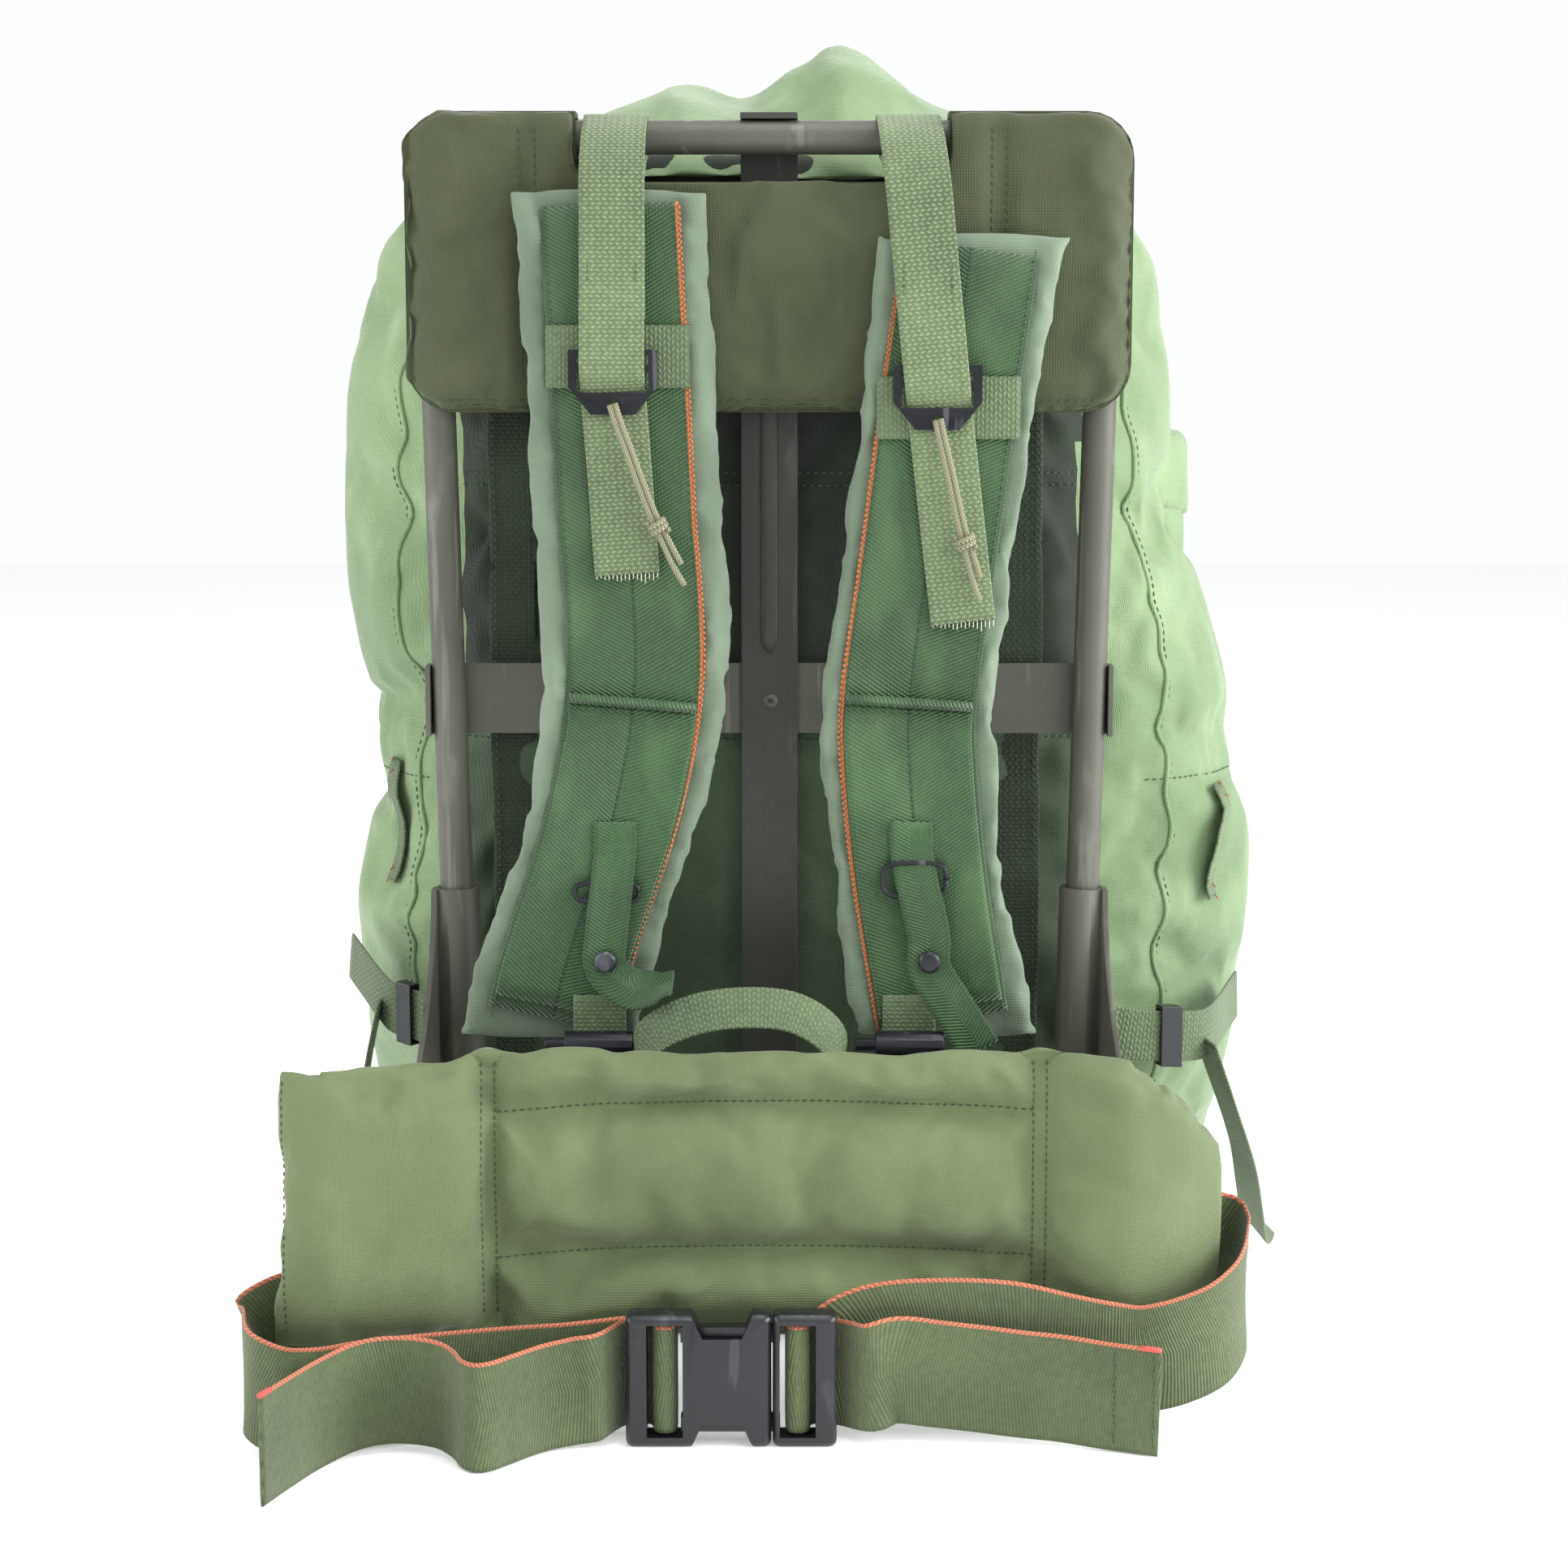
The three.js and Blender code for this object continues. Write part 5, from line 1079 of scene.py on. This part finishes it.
# %% Shoulder pads and their facings
strap_surfaces = {}
for side in ("left", "right"):
    facing_path = strap_layer("strap_facing_" + side)[0]
    pad = make_piece(copy_of("strap_pad_" + side), f"strap_pad_{side}_cloth", strap_twill,
                     ["strap_pad_" + side])
    remesh(pad, 4 * MM)

    def beside_facing(spot):
        nearest = min(facing_path, key=lambda p: abs(p.z - spot.z))
        return abs(spot.x - nearest.x) - 30 * MM

    def pad_held(spot, normal):
        return 1.0 if beside_facing(spot) < 0 else 0.0

    def pad_reach(spot):
        return 0.6 * MM if beside_facing(spot) < 0 else 3.5 * MM

    soften(pad, 5)
    for v in pad.data.vertices:
        beyond = beside_facing(v.co)
        if beyond > 0 and v.normal.y < -0.3:
            v.co.y -= 4.5 * MM * math.sin(math.pi * min(beyond / (17 * MM), 1.0))
    crumple(pad, 1.2 * MM, 30, (0.6, 1, 1.3), lambda spot: 1.0 if beside_facing(spot) > 0 else 0.0)
    relax(pad, 0.05, 6.0, pad_reach, pad_held)
    round_off(pad)
    look = facing_looks[side]
    for node, thick in (("strap_facing", 2.0 * MM), ("facing_overlap", 1.6 * MM)):
        path, wide = strap_layer(f"{node}_{side}")
        path = [p + Vector((0, 0.35 * MM * noise.noise(Vector((p.x, p.y, p.z)) * 70), 0)) for p in path]
        sweep(f"{node}_{side}_web", look, path, EAST,
              lambda share, wide=wide: wide[round(share * (len(wide) - 1))], thick,
              [f"{node}_{side}"], edge=0.3)
        strap_surfaces[node, side] = (path, wide)
    strap_lines = []
    path, wide = strap_surfaces["facing_overlap", side]
    slope = (path[0] - path[1]).normalized().cross(AHEAD)
    slope *= 1 if slope.x > 0 else -1
    half = wide[0] / 2
    hem = [path[0] + slope * half * x + Vector((0, -0.6 * MM, 0)) for x in (-1, -0.5, 0, 0.5, 1)]
    hem = [p + Vector((0, -1.2 * MM, 0)) for p in hem]
    sweep(f"overlap_hem_{side}", look, hem, UP, 4.6 * MM, 4.0 * MM, edge=1)
    for row in (4, 9):
        below = (path[1] - path[0]).normalized() * row * MM
        strap_lines.append([p + below + Vector((0, -0.5 * MM, 0)) for p in hem])
    path, wide = strap_surfaces["strap_facing", side]
    for edge in (-1, 1):
        strap_lines.append([p + Vector((edge * (w / 2 - 2 * MM), -1.25 * MM, 0))
                            for p, w in zip(path, wide)])
    stitches(f"strap_stitches_{side}", dark_thread, strap_lines, 4.2 * MM, 0.7 * MM)
    inner = 1 if side == "left" else -1
    edge_line = [p + Vector((inner * (w / 2 + 0.2 * MM), -0.6 * MM, 0)) for p, w in zip(path, wide)]
    stitches(f"strap_edge_thread_{side}", orange_thread, [edge_line],
             2.6 * MM, 1.3 * MM)
print("shoulder straps made")

# %% [markdown]
# ## Webbing of the straps
# The hanger webbing is sewn to the pad, goes round the top tube, comes down through the ladder
# buckle and ends in a free tail. The keeper holds it against the pad. They are swept flat along the
# solids' own centre lines.

# %% Hangers, keepers, tabs and lower webbing
WEB = 1.6 * MM
for side in ("left", "right"):
    hanger = flow(strip_path("hanger_webbing_" + side, (0, 0, -1)), 3 * MM)
    sweep(f"hanger_{side}_web", hanger_web, hanger, EAST, 30 * MM, WEB,
          ["hanger_webbing_" + side], edge=0.3)
    low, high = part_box("keeper_" + side)
    level, face = (low.z + high.z) / 2, (low.y + high.y) / 2
    keeper_row = [Vector((low.x + (high.x - low.x) * t, face + WEB * (abs(t - 0.5) * 2) ** 6, level))
                  for t in (0, 0.03, 0.08, 0.2, 0.4, 0.6, 0.8, 0.92, 0.97, 1)]
    sweep(f"keeper_{side}_web", loose_web, keeper_row, UP, high.z - low.z, WEB,
          ["keeper_" + side])
    tab_end = (-0.35, 0, 0.9) if side == "left" else (-0.2, 0, 1)
    tab_across = Vector((0.9, 0, 0.35)) if side == "left" else Vector((1, 0, 0.2))
    tab = flow(strip_path("release_tab_" + side, tab_end), 3 * MM)
    sweep(f"release_tab_{side}_web", tab_web, tab, tab_across, 20 * MM, WEB, ["release_tab_" + side])
    lower = flow(strip_path("lower_webbing_" + side, (0, 0, 1)), 3 * MM)
    sweep(f"lower_{side}_web", loose_web, lower, EAST, 25 * MM, WEB,
          ["lower_webbing_" + side])
    for node in ("ladder_buckle", "release_rod", "snap"):
        dressed(f"{node}_{side}", f"{node}_{side}_steel", black_steel, 0.35 * MM)
    frays = bmesh.new()
    end = hanger[0]
    for k in range(16):
        x = (k / 15 - 0.5) * 28 * MM
        start = end + Vector((x, 0, 1 * MM))
        reach = (2.5 + 3 * noise.noise(Vector((k * 1.7, 3, 1)))) * MM
        bend = Vector((0.6 * MM * noise.noise(Vector((k, 1, 2))), -0.4 * MM, -reach * 0.6))
        tip = Vector((1.5 * MM * noise.noise(Vector((k, 5, 2))), -0.2 * MM, -reach - 1 * MM))
        sweep_into(frays, [start, start + bend, start + tip], UP + EAST, 0.5 * MM, 0.5 * MM, 6, 1)
    make_piece(frays, f"tail_fray_{side}", fray_thread)
    box_lines = []
    path_top = [p for p in hanger if p.y < TUBE_Y - 20 * MM and p.z > 470 * MM]
    front = sorted(path_top, key=lambda p: p.y)[:40]
    mid = sum(front, Vector()) / len(front)
    for dx in (-11, 11):
        box_lines.append([mid + Vector((dx * MM, -1 * MM, dz * MM)) for dz in (-9, 0, 9)])
    stitches(f"hanger_stitches_{side}", dark_thread, box_lines, 3 * MM, 0.7 * MM)
# Middle, height and half sizes in mm of the ring that shows under each release tab
RINGS = {"left": (-76, 244, 15, 4.5), "right": (68, 250, 15, 8)}
for side, (x, level, half, tall) in RINGS.items():
    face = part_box("facing_overlap_" + side)[0].y - 2 * MM
    turn = [(power_of(math.cos(a), 0.5), power_of(math.sin(a), 0.6))
            for a in (i * math.pi / 18 for i in range(37))]
    ring = [Vector(((x + half * c) * MM, face, (level + tall * s) * MM)) for c, s in turn]
    tube(f"release_ring_{side}", black_steel, ring, 2.4 * MM, ring=10)
print("strap webbing made")

# %% [markdown]
# Smaller bands go on top of what carries them. The arch stands over the frame's lower bow, the lid
# straps lie on the finished lid, and the side loops and the hook's strap on the bag's side seams.

# %% Arch, lid straps, side loops and hook
bow_top, pad_top = 131 * MM, 179 * MM
ARCH = ((-59, 0.195), (-61, 0.6), (-56, 0.97), (-36, 1.2), (-8, 1.28), (14, 1.21), (30, 0.95),
        (34, 0.57), (35, 0.195))
arch_y = TUBE_Y - 70 * MM + 4.4 * MM
arch = flow([(x * MM, arch_y, bow_top + (pad_top - bow_top) * z) for x, z in ARCH], 3 * MM)
sweep("pad_arch_web", loose_web, arch, Vector((0, 0.5, 0.87)), 20 * MM, WEB, ["pad_arch"])
for side in ("left", "right"):
    lid_strap = flow(strip_path("lid_strap_" + side, (0, 0, 1)), 4 * MM)
    for p in lid_strap:
        spot = lid_surface.ray_cast(p + AHEAD * 0.1, -AHEAD, 0.13)[0]
        if spot:
            p.y = max(p.y, spot.y + 1.4 * MM)
    sweep(f"lid_strap_{side}_web", loose_web, lid_strap, EAST, 25 * MM, WEB,
          ["lid_strap_" + side])
    low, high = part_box("side_loop_" + side)
    sign = -1 if side == "left" else 1
    rows = [(sign * 260 * MM, (low.y + high.y) / 2 * 1.15, low.z + (high.z - low.z) * t / 10)
            for t in range(11)]
    loop = lay(bag_surface, rows, toward_axis, 1.0 * MM)
    sweep(f"side_loop_{side}_web", loose_web, loop, Vector((sign * 0.33, 0.94, 0)), 22 * MM, WEB,
          ["side_loop_" + side])
    stitches(f"side_loop_{side}_thread", orange_thread,
             [[loop[k] + Vector((sign * 1.2 * MM, d * MM, 0)) for d in (-9, -3, 3, 9)]
              for k in (0, 1, -2, -1)],
             3.5 * MM, 1.0 * MM)
rows = [(260 * MM, 92 * MM, z * MM) for z in range(246, 332, 6)]
hook_line = [p + Vector((0.9, 0.3, 0)) * i * 0.8 * MM
             for i, p in enumerate(lay(bag_surface, rows, toward_axis, 1.0 * MM))]
sweep("hook_strap", loose_web, hook_line, Vector((-0.3, 0.9, 0)), 16 * MM, WEB)
hook_ring = [hook_line[-1] + Vector((5.5 * math.sin(a), 0, 9 - 10 * math.cos(a))) * MM
             for a in (i * math.pi / 10 for i in range(17))]
tube("hook_steel", black_steel, hook_ring, 3.2 * MM, ring=10)
print("arch, lid straps, side loops and hook made")

# %% [markdown]
# A compression strap runs from the frame's corner plate round the bag, through a plastic slide, and
# its tail hangs free. Strap and tail are two sweeps in one piece, each with its own way of lying.

# %% Compression straps
# For each side a level, the rows of the strap and of its tail, and how the tail's width lies. A
# row is how far out from the tube, how far ahead of it and how high, in mm.
SIDE_RUNS = {
    "left": (171, ((20, 2, 174), (34, -8, 176), (42, -20, 180), (62, -60, 192)),
             ((42, -20, 178), (47, -18, 155), (52, -16, 125), (56, -15, 92), (58, -15, 60)),
             (0, 1, 0.1)),
    "right": (169, ((26, 6, 166), (53, -4, 163), (64, -14, 162), (88, -70, 170)),
              ((64, -14, 160), (76, -24, 128), (90, -52, 92), (102, -98, 54), (114, -155, 22),
               (124, -200, 13)),
              (-0.5, 1, 0.5)),
}
TUBE_OUT = 150.4 * MM
for side, (level, run_rows, tail_rows, turn) in SIDE_RUNS.items():
    sign = -1 if side == "left" else 1
    seat = [(16.1, 23.2, level), (12.4, 10, level)]
    mesh = bmesh.new()
    for strap_rows, across in (((*seat, *run_rows), UP), (tail_rows, Vector(turn))):
        rows = [Vector((sign * (TUBE_OUT + out * MM), TUBE_Y - ahead * MM, z * MM))
                for out, ahead, z in strap_rows]
        sweep_into(mesh, flow(rows, 4 * MM), across, 25 * MM, WEB, 16, 0.3)
    make_piece(mesh, f"compression_{side}_web", loose_web, ["compression_strap_" + side])
    dressed(f"strap_slide_{side}", f"strap_slide_{side}_plastic", acetal, 0.6 * MM)
print("compression straps made")

# %% [markdown]
# ## Kidney pad
# Nylon over foam. Its middle is quilted in three long channels, which puff up between the seams,
# and a plain sleeve closes each end. The seams are sunk and pinned before the air goes in, and
# pushed a little deeper after, because the remesh is too coarse to keep them.

# %% Kidney pad
pad_low, pad_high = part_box("kidney_pad")
CHANNEL_LEVELS = (148 * MM, 79 * MM)
PANEL_ENDS = (-129 * MM, 125 * MM)


def seam_distance(spot):
    inside = PANEL_ENDS[0] - 3 * MM < spot.x < PANEL_ENDS[1] + 3 * MM
    arch = 4 * MM * (1 - (spot.x / (127 * MM)) ** 2)
    across = min(abs(spot.z - level - arch) for level in CHANNEL_LEVELS) if inside else 1.0
    return min(across, min(abs(spot.x - end) for end in PANEL_ENDS))


def kidney_held(spot, normal):
    return 1.0 if seam_distance(spot) < 3 * MM else 0.0


def kidney_reach(spot):
    if spot.z < pad_low.z + 6 * MM or spot.z > pad_high.z - 6 * MM:
        return 3 * MM
    return 9 * MM


kidney = make_piece(copy_of("kidney_pad"), "kidney_pad_cloth", pad_duck, ["kidney_pad"])
remesh(kidney, 5 * MM)
for v in kidney.data.vertices:
    seam = seam_distance(v.co)
    if v.normal.y < -0.2:
        v.co.y += 7.5 * MM * math.exp(-(seam / (13 * MM)) ** 2)
    v.co.z -= 6 * MM * math.exp(-((v.co.z - pad_low.z) / (24 * MM)) ** 2)
crumple(kidney, 2.0 * MM, 20, (0.5, 1, 1.4))
relax(kidney, 0.06, 6.0, kidney_reach, kidney_held)
for v in kidney.data.vertices:
    if v.normal.y < -0.2:
        v.co.y += 4.5 * MM * math.exp(-(seam_distance(v.co) / (5 * MM)) ** 2)
    v.co.y = min(v.co.y, TUBE_Y - 70 * MM - 2 * MM)
round_off(kidney)
kidney_surface = surface_of(kidney)
pad_lines = []
for level in CHANNEL_LEVELS:
    rows = [(x * MM, pad_low.y - 0.02, level + 4 * MM * (1 - (x / 127) ** 2))
            for x in range(-126, 124, 3)]
    pad_lines.append(lay(kidney_surface, rows, AHEAD, 0.25 * MM))
for end in PANEL_ENDS:
    for off in (-3 * MM, 3 * MM):
        rows = [(end + off, pad_low.y - 0.02, z * MM) for z in range(52, 175, 3)]
        pad_lines.append(lay(kidney_surface, rows, AHEAD, 0.25 * MM))
rows = [(pad_low.x + 9 * MM, pad_low.y - 0.02, z * MM) for z in range(52, 170, 3)]
pad_lines.append(lay(kidney_surface, rows, AHEAD, 0.25 * MM))
stitches("kidney_pad_stitches", dark_thread, pad_lines, 3.6 * MM, 0.8 * MM)
print("kidney pad faces", len(kidney.data.polygons))

# %% [markdown]
# ## Belt and buckle
# The belt is wide webbing that stands on its edge on the floor. Its two halves keep the solids'
# plan. The buckle keeps its CAD halves with edges rounded as moulded plastic has them.

# %% Belt and buckle
for side in ("left", "right"):
    rows = strip_path("belt_" + side, (0, -1, 0))
    belt_line = flow(rows, 3 * MM)
    sweep(f"belt_{side}_web", belt_web, belt_line, UP, 50.8 * MM, 1.8 * MM, ["belt_" + side],
          ring=20, edge=0.3)
    print("belt", side, "rows", len(rows), "from", [round(c, 3) for c in belt_line[0]])
    fold = [p + Vector((0, 2.2 * MM, 0)) for p in belt_line[:9]]
    sweep(f"belt_fold_{side}", belt_web, fold, UP, 49 * MM, 1.8 * MM, edge=0.3)
    lines = [[belt_line[k] + Vector((0, -1.2 * MM, z * MM)) for z in range(-22, 24, 4)] for k in (1, 7)]
    stitches(f"belt_stitches_{side}", dark_thread, lines, 3 * MM, 0.8 * MM)
    corner = [belt_line[k] + Vector((0, -0.4 * MM, 24.6 * MM)) for k in range(0, 4)]
    tube(f"belt_mark_{side}", red_mark, corner, 2.6 * MM, ring=8)
for node in ("buckle_body", "buckle_prong"):
    dressed(node, node + "_plastic", acetal, 0.9 * MM, 30)
print("belt and buckle made")

# %% [markdown]
# ## End

# %% Finish
print("done")
